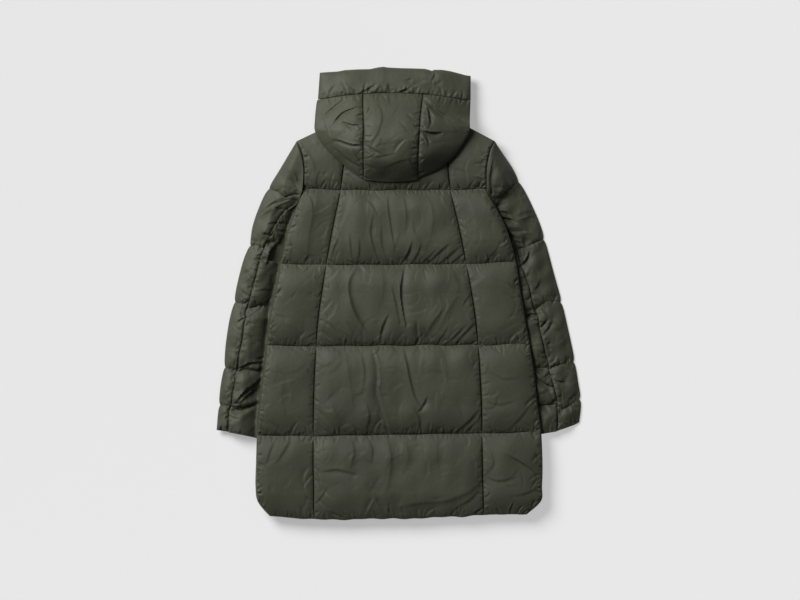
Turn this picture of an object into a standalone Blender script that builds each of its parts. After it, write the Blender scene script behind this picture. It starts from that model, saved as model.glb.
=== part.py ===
"""Long hooded puffer coat, laid flat and face down.

X runs to the wearer's right, Y runs from hem to hood, Z runs up from the surface that the coat
lies on.  The front layer lies on that surface, the back layer lies on the front layer, the inner
edges of the sleeves are tucked under the body, and the hood is folded back over the yoke.
Left and right are the wearer's.  Every padded wall is a closed solid between an outer and an inner
grid of points.
"""

import math

import bmesh
import bpy
from mathutils import Matrix

MM = 0.001

# ---------------------------------------------------------------- driving dimensions, millimetres
GAP = 0.3                 # between two neighbouring pieces
SEAM_WALL = 3.0           # padded wall where it is stitched flat
BACK_FLOOR = 26.2         # inner face of the back layer
FRONT_CEILING = 24.9      # inner face of the front layer
SEAM_CEILING = 25.9       # the same along the side and shoulder seams
FRONT_ROUND = 26.0        # distance over which the underside rounds up to a stitched line
SIDE_RISE = 62.0          # distance over which the underside rises to the side seam
ZIP_ROUND = 22.0          # the same beside the zip
TUCK_CLEARANCE = 2.5      # between the body's underside and the tucked sleeve
ARMPIT_LIFT = 12.0        # how far the sleeve rises over that slope at the armhole seam

HOOD_FLOOR = 44.3         # underside of the folded hood over the yoke
NECK_REACH = 12.0         # how far past the neckline the folded hood starts to sink
HOOD_ROUND = 45.0         # rounding of the folded hood's outline
BRIM_SLIT = 21.0          # height where the two halves of the brim meet
BRIM_ROUND = 22.0
BRIM_PUFF = 23.0
LAYER_DROP = 1.1          # from the layer of the zip's tapes down to the walls under it
SEAM_SLACK = 0.8          # between pieces whose shared curve is sampled at different points

ZIP_HALF_TAPE = 15.0
ZIP_HALF_CHAIN = 2.8
ZIP_TAPE = 0.7
ZIP_CHAIN = 3.2
ZIP_END_HEM = -462.0
ZIP_END_CHIN = 456.0
FRONT_EDGE = 4.6          # half of the distance between the two fronts

SLIDER_Y = 436.0          # the pull's pin
SLIDER_BODY = (8.4, 13.0, 3.2)
PIN_RADIUS = 0.9
PIN_LENGTH = 8.0
LUG_WIDTH = 1.4
LUG_LENGTH = 4.0
BARREL_RADIUS = 2.1
PULL_WIDTH = 4.6
PULL_LENGTH = 30.0
PULL_THICKNESS = 1.6

# ---------------------------------------------------------------- the body, a row per section
# Columns: station, then (x, y) at the left side edge, the left princess seam, the right princess
# seam and the right side edge.
BODY = (
    ("shoulder",   (-216, 320), (-101, 375), (93, 378), (201, 320)),
    ("yoke_upper", (-206, 298), (-109, 323), (97, 324), (190, 298)),
    ("yoke_lower", (-200, 264), (-117, 266), (102, 267), (184, 264)),
    ("quilt_1",    (-203, 220), (-123, 218), (108, 218), (184, 220)),
    ("armpit",     (-208, 202), (-126, 201), (111, 201), (190, 205)),
    ("chest",      (-233, 136), (-139, 138), (126, 138), (225, 138)),
    ("quilt_2",    (-249, 64), (-153, 60), (141, 63), (245, 67)),
    ("waist_u",    (-260, 10), (-161, 8), (151, 8), (254, 10)),
    ("waist_l",    (-272, -49), (-169, -49), (160, -49), (264, -49)),
    ("quilt_3",    (-278, -108), (-174, -110), (166, -107), (274, -105)),
    ("hip_u",      (-286, -167), (-177, -167), (170, -167), (283, -164)),
    ("hip_l",      (-294, -230), (-179, -230), (173, -230), (290, -227)),
    ("quilt_4",    (-299, -298), (-180, -298), (174, -293), (298, -289)),
    ("skirt_u",    (-301, -356), (-180, -356), (175, -356), (301, -356)),
    ("skirt_l",    (-302, -404), (-179, -410), (176, -408), (300, -404)),
    ("hem_corner", (-297, -437), (-179, -446), (177, -440), (298, -435)),
    ("hem",        (-272, -467), (-178, -474), (178, -465), (268, -463)),
)
ARMPIT = 4
QUILT_ROWS = (0, 3, 6, 9, 12, 16)            # stations that are stitched lines or edges
BACK_PUFF = (13.0, 19.0, 19.0, 19.0, 18.0)   # height of each row of padding over its seams
ROW_STEPS = (0.0, 0.12, 0.36, 0.64, 0.88)
NECK_DIP_BACK = 24.0
HEM_DIP = 3.0
FRONT_NECK = ((302, 14.0), (284, 8.0), (260, 3.0))   # y and dip at the zip, first three stations

# ---------------------------------------------------------------- the sleeves, a row per section
# Columns: station, then (x, y) at the outer edge, the back seam and the inner edge, and the
# height of the slit between the two layers at the outer and the inner edge.
SLEEVE_LEFT = (
    ("armhole", (-216, 320), (-206, 211), (-208, 202), 26, 26),
    ("cap",     (-252, 260), (-222, 190), (-219, 183), 24, 12),
    ("quilt_1", (-279, 217), (-224, 181), (-214, 167), 22, 8),
    ("upper_a", (-298, 174), (-240, 165), (-214, 134), 21, 6),
    ("upper_b", (-309, 140), (-259, 136), (-219, 104), 21, 5),
    ("quilt_2", (-315, 106), (-280, 96), (-226, 79), 21, 5),
    ("mid_a",   (-329, 67), (-293, 62), (-233, 48), 21, 5),
    ("mid_b",   (-341, 20), (-306, 20), (-240, 6), 21, 5),
    ("quilt_3", (-349, -21), (-318, -23), (-247, -28), 21, 5),
    ("fore_a",  (-358, -59), (-325, -62), (-253, -68), 21, 5),
    ("fore_b",  (-365, -106), (-333, -106), (-258, -112), 21, 5),
    ("quilt_4", (-369, -152), (-340, -158), (-264, -159), 21, 5),
    ("wrist_a", (-376, -194), (-348, -196), (-268, -200), 21, 5),
    ("quilt_5", (-380, -234), (-353, -238), (-273, -238), 21, 5),
    ("cuff",    (-384, -284), (-360, -289), (-278, -305), 20, 5),
)
SLEEVE_RIGHT = (
    ("armhole", (201, 320), (187, 214), (190, 205), 26, 26),
    ("cap",     (235, 270), (205, 193), (202, 186), 24, 12),
    ("quilt_1", (262, 221), (206, 183), (197, 167), 22, 8),
    ("upper_a", (283, 178), (218, 157), (202, 136), 21, 6),
    ("upper_b", (298, 142), (231, 125), (210, 106), 21, 5),
    ("quilt_2", (308, 109), (244, 92), (218, 79), 21, 5),
    ("mid_a",   (322, 56), (261, 53), (224, 46), 21, 5),
    ("mid_b",   (333, 16), (273, 14), (231, 6), 21, 5),
    ("quilt_3", (342, -15), (286, -34), (240, -41), 21, 5),
    ("fore_a",  (352, -59), (294, -62), (247, -68), 21, 5),
    ("fore_b",  (362, -104), (303, -106), (256, -112), 21, 5),
    ("quilt_4", (370, -143), (315, -153), (262, -154), 21, 5),
    ("wrist_a", (377, -188), (324, -190), (268, -194), 21, 5),
    ("quilt_5", (383, -227), (333, -238), (272, -240), 21, 5),
    ("cuff",    (379, -270), (340, -287), (277, -296), 20, 5),
)
SLEEVE_LINES = (0, 2, 5, 8, 11, 13, 14)
SLEEVE_STEPS = (0.0, 0.2, 0.5, 0.8)
SLEEVE_PUFF = 19.0
SLEEVE_ROUND = 28.0
SLEEVE_INNER_ROUND = 50.0
SLEEVE_WALL = 5.0
ARMHOLE_SEAM_SHARE = 0.93      # share of the armhole, from the shoulder, that the upper piece takes

# ---------------------------------------------------------------- the hood, a row per section
# Columns: station, then (x, y) at the left outline, the left seam, the right seam and the right
# outline, the height of the outline's fold, and the puff over it.
HOOD = (
    ("brim",    (-171, 408), (-76, 419), (50, 418), (150, 405), 24, 16),
    ("crown_a", (-175, 389), (-76, 394), (47, 394), (149, 388), 31, 34),
    ("crown_b", (-177, 365), (-75, 367), (44, 367), (148, 365), 42, 36),
    ("side",    (-177, 342), (-74, 342), (43, 342), (147, 342), 50, 34),
    ("lower_a", (-165, 318), (-75, 318), (41, 318), (136, 318), 50, 34),
    ("lower_b", (-143, 293), (-75, 295), (40, 295), (119, 293), 50, 34),
    ("pouch_a", (-118, 271), (-75, 276), (39, 276), (98, 273), 50, 34),
    ("pouch_b", (-95, 253), (-75, 258), (39, 259), (73, 257), 50, 32),
    ("tip",     (-81, 244), (-75, 243), (38, 243), (45, 245), 50, 24),
)
HOOD_BOTTOM = ((-75, 240), (38, 239))
HOOD_BOTTOM_DIP = 5.0
BRIM_SEAM = ((-171, 408), (150, 405), 15.0)    # left end, right end, rise in the middle
BRIM_RIM = ((-167, 465), (150, 458), 16.0)
COLLAR_INSET = 9.0                             # collar's outer corner, inside the brim's outline

SHELL_COLOUR = (0.078, 0.082, 0.052, 1.0)
METAL_COLOUR = (0.30, 0.27, 0.20, 1.0)


# ---------------------------------------------------------------- curves and profiles
def lerp(a, b, t):
    return a + (b - a) * t


def lerp_point(p, q, t):
    return (lerp(p[0], q[0], t), lerp(p[1], q[1], t))


def distance(p, q):
    return math.hypot(q[0] - p[0], q[1] - p[1])


def quarter_round(length, reach):
    """Rise from 0 to 1 along a quarter ellipse while length goes from 0 to reach."""
    t = min(1.0, max(0.0, length / reach))
    return math.sqrt(1.0 - (1.0 - t) ** 2)


def bow(t):
    """0 at both ends, 1 in the middle."""
    return 4.0 * t * (1.0 - t)


def smooth_value(values, v):
    """Catmull-Rom curve through evenly numbered values."""
    last = len(values) - 1
    i = min(int(v), last - 1)
    t = v - i
    a, b, c, d = (values[max(0, min(last, i + k))] for k in (-1, 0, 1, 2))
    return 0.5 * (2 * b + (c - a) * t + (2 * a - 5 * b + 4 * c - d) * t ** 2
                  + (3 * b - a - 3 * c + d) * t ** 3)


def table_point(table, column, v):
    return (smooth_value([row[column][0] for row in table], v),
            smooth_value([row[column][1] for row in table], v))


def table_number(table, column, v):
    return smooth_value([row[column] for row in table], v)


def stations(lines, steps):
    """Table positions of all grid rows, each with its quilted row and its place inside it."""
    rows = []
    for number, (start, end) in enumerate(zip(lines, lines[1:])):
        rows += [(lerp(start, end, t), number, t) for t in steps]
    rows.append((float(lines[-1]), len(lines) - 2, 1.0))
    return rows


def shift(point, dx, dy=0.0):
    return (point[0] + dx, point[1] + dy)


# ---------------------------------------------------------------- solids
def make_object(name, mesh, colour, metallic=0.0, roughness=0.5):
    material = bpy.data.materials.new(name)
    material.use_nodes = True
    shader = material.node_tree.nodes["Principled BSDF"]
    shader.inputs["Base Color"].default_value = colour
    shader.inputs["Metallic"].default_value = metallic
    shader.inputs["Roughness"].default_value = roughness
    mesh.materials.append(material)
    item = bpy.data.objects.new(name, mesh)
    coat.objects.link(item)
    return item


def padded_wall(name, outer, inner):
    """Closed solid between two grids of points that have the same rows and columns."""
    mesh = bmesh.new()
    grids = [[[mesh.verts.new([c * MM for c in point]) for point in row] for row in grid]
             for grid in (outer, inner)]
    rows = len(outer)
    columns = len(outer[0])
    for grid in grids:
        for r in range(rows - 1):
            for c in range(columns - 1):
                mesh.faces.new((grid[r][c], grid[r][c + 1], grid[r + 1][c + 1], grid[r + 1][c]))
    rim = [(0, c) for c in range(columns)] + [(r, columns - 1) for r in range(1, rows)]
    rim += [(rows - 1, c) for c in range(columns - 2, -1, -1)] + [(r, 0) for r in range(rows - 2, 0, -1)]
    for (r, c), (s, d) in zip(rim, rim[1:] + rim[:1]):
        mesh.faces.new((grids[0][r][c], grids[0][s][d], grids[1][s][d], grids[1][r][c]))
    bmesh.ops.recalc_face_normals(mesh, faces=mesh.faces)
    data = bpy.data.meshes.new(name)
    mesh.to_mesh(data)
    mesh.free()
    return make_object(name, data, SHELL_COLOUR)


# ---------------------------------------------------------------- body
BODY_ROWS = stations(QUILT_ROWS, ROW_STEPS)
BODY_ROWS.append((float(ARMPIT), 1, (ARMPIT - QUILT_ROWS[1]) / (QUILT_ROWS[2] - QUILT_ROWS[1])))
BODY_ROWS.sort()


def quilt_depth(number, t, reach):
    """1 in the middle of a quilted row, 0 on its stitched lines."""
    top = BODY[QUILT_ROWS[number]][2][1]
    bottom = BODY[QUILT_ROWS[number + 1]][2][1]
    return quarter_round(min(t, 1.0 - t) * (top - bottom), reach)


def back_panel(name, left, right, steps):
    """One back panel between two columns of the body's table."""
    outer, inner = [], []
    for v, number, t in BODY_ROWS:
        a = shift(table_point(BODY, left, v), GAP / 2)
        b = shift(table_point(BODY, right, v), -GAP / 2)
        width = distance(a, b)
        rise = quilt_depth(number, t, 60.0) * BACK_PUFF[number]
        dip = NECK_DIP_BACK * max(0.0, 1.0 - v) + HEM_DIP * max(0.0, v - QUILT_ROWS[-1] + 1)
        dip *= 1.0 if left == 2 else 0.0
        outer_row, inner_row = [], []
        for u in steps:
            x, y = lerp_point(a, b, u)
            y -= dip * bow(u)
            dome = quarter_round(min(u, 1.0 - u) * width, 0.45 * width)
            outer_row.append((x, y, BACK_FLOOR + SEAM_WALL + rise * dome))
            inner_row.append((x, y, BACK_FLOOR))
        outer.append(outer_row)
        inner.append(inner_row)
    padded_wall(name, outer, inner)


def side_edge(side):
    """The body's side edge as the grid draws it, from the shoulder to the hem."""
    return [table_point(BODY, 1 if side < 0 else 4, v) for v, _, _ in BODY_ROWS]


def underside(side, x, y):
    """Slope of the front layer's underside at the side edge, carried on outside the edge."""
    edge = side_edge(side)
    for p, q in zip(edge, edge[1:]):
        if q[1] <= y <= p[1]:
            at_edge = lerp(p[0], q[0], (p[1] - y) / max(1e-6, p[1] - q[1]))
            inside = (at_edge - x) * side
            return (SEAM_CEILING - SEAM_WALL) * (1.0 - inside / SIDE_RISE)
    return math.inf


def front_columns(side):
    """Distances of the grid's columns: from the side edge, then as shares, then from the zip."""
    return ((("edge", 0.0), ("edge", 30.0), ("edge", SIDE_RISE), ("share", 0.0),
             ("share", 0.35), ("share", 0.7), ("zip", ZIP_ROUND), ("zip", 8.0), ("zip", 0.0)))


def front_line(side, v, kind, value):
    """A point of the front, on the section v."""
    edge = table_point(BODY, 1 if side < 0 else 4, v)
    middle = table_point(BODY, 2 if side < 0 else 3, v)
    first = min(int(v), 2)
    near, far = FRONT_NECK[first], (FRONT_NECK[first + 1] if first < 2 else (middle[1], 0.0))
    share = min(1.0, v - first)
    centre = (side * FRONT_EDGE, lerp(near[0], far[0], share) if v < 3 else middle[1])
    dip = lerp(near[1], far[1], share) if v < 3 else 0.0
    if v > QUILT_ROWS[-1] - 1:
        centre = shift(centre, 0.0, -HEM_DIP * (v - QUILT_ROWS[-1] + 1))
    if kind == "edge":
        return lerp_point(edge, middle, value / distance(edge, middle))
    u = value if kind == "share" else 1.0 - value / distance(middle, centre)
    x, y = lerp_point(middle, centre, u)
    return (x, y - dip * bow(u))


def front_panel(name, side):
    outer, inner = [], []
    for v, number, t in BODY_ROWS:
        outer_row, inner_row = [], []
        for kind, value in front_columns(side):
            x, y = front_line(side, v, kind, value)
            depth = quilt_depth(number, t, FRONT_ROUND)
            if kind == "edge":
                depth *= min(1.0, value / SIDE_RISE)
            if kind == "zip":
                depth *= quarter_round(value, ZIP_ROUND)
            seam = kind == "edge" and value == 0.0
            ceiling = SEAM_CEILING if seam else FRONT_CEILING
            outer_row.append((x, y, (ceiling - SEAM_WALL) * (1.0 - depth)))
            inner_row.append((x, y, ceiling))
        outer.append(outer_row)
        inner.append(inner_row)
    padded_wall(name, outer, inner)


# ---------------------------------------------------------------- sleeves
def armhole_point(side, share):
    """A point of the armhole seam, share 0 at the shoulder and 1 at the armpit."""
    edge = [table_point(BODY, 1 if side < 0 else 4, v) for v, _, _ in BODY_ROWS if v <= ARMPIT]
    lengths = [distance(p, q) for p, q in zip(edge, edge[1:])]
    left = share * sum(lengths)
    for p, q, length in zip(edge, edge[1:], lengths):
        if left <= length + 1e-6:
            return shift(lerp_point(p, q, left / length), side * GAP)
        left -= length
    return shift(edge[-1], side * GAP)


def sleeve_point(side, table, v, across):
    """A point of the sleeve in plan: across is 0 at the outer edge, 1 at the back seam, 2 inside."""
    outer, seam, inner = (table_point(table, column, max(v, 1.0)) for column in (1, 2, 3))
    if across <= 1.0:
        point = lerp_point(outer, seam, across)
    else:
        point = lerp_point(seam, inner, across - 1.0)
    if v >= 1.0:
        return point
    share = ARMHOLE_SEAM_SHARE
    share = across * share if across <= 1.0 else lerp(share, 1.0, across - 1.0)
    return lerp_point(armhole_point(side, share), point, v)


def sleeve_heights(side, table, v, depth, across):
    """Top, slit and bottom of the flattened sleeve at one point."""
    plan = sleeve_point(side, table, v, across)
    outer = sleeve_point(side, table, v, 0.0)
    seam = sleeve_point(side, table, v, 1.0)
    inner = sleeve_point(side, table, v, 2.0)
    share = max(0.0, across - 0.6) / 1.4
    slit = lerp(table_number(table, 4, v), table_number(table, 5, v), share)
    near_seam = quarter_round(distance(plan, seam), 22.0)
    puff = depth * (0.35 + 0.65 * near_seam)
    puff *= quarter_round(distance(plan, inner), SLEEVE_INNER_ROUND)
    edge = quarter_round(distance(plan, outer), SLEEVE_ROUND)
    edge *= quarter_round(distance(plan, inner), 8.0)
    top = slit + (SEAM_WALL + SLEEVE_PUFF * puff) * edge
    above_armpit = max(0.0, 1.0 - v) * ARMPIT_LIFT
    top = min(top, underside(side, *plan) - TUCK_CLEARANCE + above_armpit)
    slit = min(slit, top - SEAM_WALL * edge)
    flat = depth * near_seam
    bottom = slit - (SEAM_WALL + max(0.0, slit - SEAM_WALL) * flat) * edge
    return top, slit, max(0.0, bottom)


def sleeve_piece(name, side, table, start, end):
    """Half of a sleeve: it runs from the back seam round one folded edge to the front seam."""
    fold = start if start != 1.0 else end
    outer, inner = [], []
    for v, number, t in stations(SLEEVE_LINES, SLEEVE_STEPS):
        top_of_row = table_point(table, 2, SLEEVE_LINES[number])
        foot_of_row = table_point(table, 2, SLEEVE_LINES[number + 1])
        length = distance(top_of_row, foot_of_row)
        depth = 0.25 + 0.75 * quarter_round(min(t, 1.0 - t) * length, 0.4 * length)
        depth *= min(1.0, v)
        at_fold = sleeve_point(side, table, v, fold)
        width = distance(sleeve_point(side, table, v, 1.0), at_fold)
        outer_row, inner_row = [], []
        steps = [1.0 - GAP / width, 0.55, min(0.3, 9.0 / width), 0.0]
        for layer in (1, -1):
            for share in (steps if layer > 0 else steps[-2::-1]):
                across = lerp(fold, 1.0, share)
                top, slit, bottom = sleeve_heights(side, table, v, depth, across)
                plan = sleeve_point(side, table, v, across)
                height = slit if share == 0.0 else (top if layer > 0 else bottom)
                outer_row.append((*plan, height))
                wall = max(share, min(0.45, (SLEEVE_WALL + 0.5 * share * width) / width))
                plan = sleeve_point(side, table, v, lerp(fold, 1.0, wall))
                inside = sleeve_heights(side, table, v, depth, lerp(fold, 1.0, wall))[1]
                inner_row.append((*plan, inside if share == 0.0 else inside + layer * GAP / 2))
        outer.append(outer_row)
        inner.append(inner_row)
    padded_wall(name, outer, inner)


# ---------------------------------------------------------------- hood and collar
def slit_height(y):
    """Height of the layer that the zip's tapes lie in: it sinks from the neck to the chin."""
    return lerp(26.0, BRIM_SLIT, min(1.0, max(0.0, (y - 355.0) / 50.0)))


def neckline(x):
    """Upper edge of the body at x."""
    tip_left, neck_left, neck_right, tip_right = BODY[0][1:]
    if x < neck_left[0]:
        return lerp(tip_left[1], neck_left[1], (x - tip_left[0]) / (neck_left[0] - tip_left[0]))
    if x > neck_right[0]:
        return lerp(neck_right[1], tip_right[1], (x - neck_right[0]) / (tip_right[0] - neck_right[0]))
    u = (x - neck_left[0]) / (neck_right[0] - neck_left[0])
    return lerp(neck_left[1], neck_right[1], u) - NECK_DIP_BACK * bow(u)


def hood_floor(x, y):
    """Underside of the folded hood: on the yoke, then past the neckline on the collar."""
    if y < neckline(x) + NECK_REACH:
        return HOOD_FLOOR
    return slit_height(y) + GAP


def hood_piece(name, left, right, steps, outline):
    """One panel of the folded hood between two columns of the hood's table."""
    rows = stations(range(len(HOOD)), (0.0, 0.5))
    ends = [(table_point(HOOD, left, v), table_point(HOOD, right, v), v) for v, _, _ in rows]
    if outline == 0:
        ends.append((HOOD_BOTTOM[0], HOOD_BOTTOM[1], float(len(HOOD) - 1)))
    outer, inner = [], []
    for number, (a, b, v) in enumerate(ends):
        a = shift(a, 0.0 if outline < 0 else GAP / 2)
        b = shift(b, 0.0 if outline > 0 else -GAP / 2)
        fold = table_number(HOOD, 5, v)
        puff = table_number(HOOD, 6, v)
        from_brim = abs(a[1] - HOOD[0][left][1])
        brim_lift = 0.4 + 0.6 * quarter_round(from_brim, 30.0)
        outer_row, inner_row = [], []
        for u in steps:
            x, y = lerp_point(a, b, u)
            last = number == len(ends) - 1
            if outline == 0:
                y -= HOOD_BOTTOM_DIP * bow(u) if last else 0.0
                to_fold = y - min(HOOD_BOTTOM[0][1], HOOD_BOTTOM[1][1]) if not last else 0.0
                to_seam = min(u, 1.0 - u) * distance(a, b)
            else:
                to_fold = (u if outline < 0 else 1.0 - u) * distance(a, b)
                to_seam = (1.0 - u if outline < 0 else u) * distance(a, b)
            y = lerp(brim_point(BRIM_SEAM, x)[1] - SEAM_SLACK, y, min(1.0, v))
            round_off = quarter_round(to_fold, HOOD_ROUND)
            lift = puff * brim_lift * round_off * (0.5 + 0.5 * quarter_round(to_seam, 30.0))
            floor = hood_floor(x, y)
            under = lerp(max(floor, fold - SEAM_WALL / 2), floor, round_off)
            outer_row.append((x, y, max(fold, under + SEAM_WALL) + lift))
            inner_row.append((x, y, under))
        outer.append(outer_row)
        inner.append(inner_row)
    padded_wall(name, outer, inner)


def brim_point(curve, x):
    """A point of the rim or of the brim's seam, at x."""
    left, right, rise = curve
    u = (x - left[0]) / (right[0] - left[0])
    return (x, lerp(left[1], right[1], u) + rise * bow(u))


def brim_section(curve, share, wide):
    """Point of a rim curve: share runs from -1, the left end, over 0, the zip, to 1."""
    x = wide * (1.0 if share > 0.0 else -1.0)
    end = curve[1][0] if share > 0.0 else curve[0][0]
    return brim_point(curve, lerp(x, end, abs(share)))


def hood_brim():
    """Band round the face opening: its upper half, and its lower half, open at the zip."""
    half = (0.0, 0.14, 0.35, 0.7, 0.95)
    path = [(-1, -share) for share in half] + [(0, -1.0)]
    path += [(1, share) for share in (-0.95, -0.75, -0.5, -0.25, 0.25, 0.5, 0.75, 0.95)]
    path += [(0, 1.0)] + [(-1, share) for share in reversed(half)]
    outer, inner = [], []
    for row in (0.0, 0.15, 0.5, 0.85, 1.0):
        depth = quarter_round(min(row, 1.0 - row), 0.4)
        outer_row, inner_row = [], []
        for number, (layer, share) in enumerate(path):
            wide = 0.0
            if layer < 0:
                wide = FRONT_EDGE
                share = share if share else (-1e-9 if number == 0 else 1e-9)
            x, y = lerp_point(brim_section(BRIM_RIM, share, wide),
                              brim_section(BRIM_SEAM, share, wide), row)
            y += GAP * row
            end = BRIM_SEAM[1][0] if share > 0.0 else BRIM_SEAM[0][0]
            edge = quarter_round((1.0 - abs(share)) * abs(end), BRIM_ROUND)
            height, inside = BRIM_SLIT, BRIM_SLIT - GAP
            if layer > 0:
                inside = BRIM_SLIT + GAP
                height = inside + (SEAM_WALL + (BRIM_PUFF - SEAM_WALL) * depth) * edge
            if layer < 0:
                inside = BRIM_SLIT - LAYER_DROP
                beside_zip = quarter_round(abs(x) - FRONT_EDGE, ZIP_ROUND)
                height = (inside - SEAM_WALL) * (1.0 - depth * edge * beside_zip)
            inward = 0.0 if layer else (SLEEVE_WALL if share < 0.0 else -SLEEVE_WALL)
            outer_row.append((x, y, height))
            inner_row.append((x + inward, y, inside))
        outer.append(outer_row)
        inner.append(inner_row)
    padded_wall("hood_brim", outer, inner)


def collar(name, side):
    """Front half of the hood's neck, between the front neckline and the brim."""
    columns = ((("share", 0.0), ("share", 0.35), ("share", 0.7), ("zip", ZIP_ROUND), ("zip", 8.0),
                ("zip", 0.0)))
    outer, inner = [], []
    start = front_line(side, 0.0, "share", 0.0)
    finish = front_line(side, 0.0, "zip", 0.0)
    length = distance(start, finish)
    normal = ((start[1] - finish[1]) / length * -side, abs(finish[0] - start[0]) / length)
    corner = BRIM_SEAM[0 if side < 0 else 1][0] - side * COLLAR_INSET
    for row in (0.0, 0.12, 0.4, 0.7, 0.9, 1.0):
        outer_row, inner_row = [], []
        for kind, value in columns:
            low = front_line(side, 0.0, kind, value)
            at_zip = kind == "zip"
            low = shift(low, 0.0 if at_zip else normal[0] * 0.5, normal[1] * 0.5)
            x = side * (FRONT_EDGE + value) if at_zip else lerp(corner, 0.0, value)
            high = shift(brim_point(BRIM_SEAM, x), 0.0, -SEAM_SLACK)
            x, y = (lerp(low[0], high[0], row ** 1.5), lerp(low[1], high[1], row))
            depth = quarter_round(min(row, 1.0 - row), 0.3)
            depth *= quarter_round(value, ZIP_ROUND) if at_zip else min(1.0, value * 2.0)
            ceiling = slit_height(y) - LAYER_DROP - GAP
            outer_row.append((x, y, (ceiling - SEAM_WALL) * (1.0 - depth)))
            inner_row.append((x, y, ceiling))
        outer.append(outer_row)
        inner.append(inner_row)
    padded_wall(name, outer, inner)


# ---------------------------------------------------------------- zip
def zip_strip():
    """Both tapes and the closed chain, one strip that follows the front opening."""
    stops = (ZIP_END_HEM, 355.0, 405.0, ZIP_END_CHIN)
    data = bpy.data.meshes.new("zip")
    mesh = bmesh.new()
    rings = []
    for y in stops:
        top = slit_height(y) - 0.1
        low = top - ZIP_TAPE
        foot = low - ZIP_CHAIN
        profile = ((-ZIP_HALF_TAPE, top), (ZIP_HALF_TAPE, top), (ZIP_HALF_TAPE, low),
                   (ZIP_HALF_CHAIN, low), (ZIP_HALF_CHAIN, foot), (-ZIP_HALF_CHAIN, foot),
                   (-ZIP_HALF_CHAIN, low), (-ZIP_HALF_TAPE, low))
        rings.append([mesh.verts.new((x * MM, y * MM, z * MM)) for x, z in profile])
    for ring, following in zip(rings, rings[1:]):
        for i in range(len(ring)):
            j = (i + 1) % len(ring)
            mesh.faces.new((ring[i], ring[j], following[j], following[i]))
    mesh.faces.new(rings[0])
    mesh.faces.new(rings[-1])
    bmesh.ops.recalc_face_normals(mesh, faces=mesh.faces)
    mesh.to_mesh(data)
    mesh.free()
    make_object("zip", data, SHELL_COLOUR, roughness=0.6)


def block(name, size, place):
    mesh = bmesh.new()
    bmesh.ops.create_cube(mesh, size=1.0)
    for vertex in mesh.verts:
        vertex.co = [(place[i] + vertex.co[i] * size[i]) * MM for i in range(3)]
    data = bpy.data.meshes.new(name)
    mesh.to_mesh(data)
    mesh.free()
    return make_object(name, data, METAL_COLOUR, metallic=1.0, roughness=0.35)


def join_to(target, extra):
    """Unite a helper with its piece and keep the result as the piece's own mesh."""
    cut = target.modifiers.new("union", "BOOLEAN")
    cut.operation = "UNION"
    cut.solver = "EXACT"
    cut.object = extra
    evaluated = target.evaluated_get(bpy.context.evaluated_depsgraph_get())
    mesh = bpy.data.meshes.new_from_object(evaluated)
    target.modifiers.clear()
    target.data = mesh
    bpy.data.objects.remove(extra)


def zip_slider():
    """Slider body under the closed chain, with two lugs and the pin that carries the pull."""
    chain_foot = slit_height(SLIDER_Y) - 0.1 - ZIP_TAPE - ZIP_CHAIN
    wide, long, thick = SLIDER_BODY
    top = chain_foot - GAP
    pin_z = top - thick - BARREL_RADIUS - 0.5
    slider = block("zip_slider", (wide, long, thick), (0.0, SLIDER_Y, top - thick / 2))
    lug_height = thick / 2 + BARREL_RADIUS + 0.5 + PIN_RADIUS + 0.8
    for side in (-1, 1):
        place = (side * (PIN_LENGTH - LUG_WIDTH) / 2, SLIDER_Y, top - thick / 2 - lug_height / 2)
        join_to(slider, block("lug", (LUG_WIDTH, LUG_LENGTH, lug_height), place))
    mesh = bmesh.new()
    bmesh.ops.create_cone(mesh, cap_ends=True, segments=16, radius1=PIN_RADIUS * MM,
                          radius2=PIN_RADIUS * MM, depth=(PIN_LENGTH - LUG_WIDTH) * MM)
    data = bpy.data.meshes.new("pin")
    mesh.to_mesh(data)
    mesh.free()
    pin = make_object("pin", data, METAL_COLOUR)
    pin.rotation_euler = (0.0, math.radians(90.0), 0.0)
    pin.location = (0.0, SLIDER_Y * MM, pin_z * MM)
    bpy.context.view_layer.update()
    join_to(slider, pin)
    return pin_z


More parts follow.
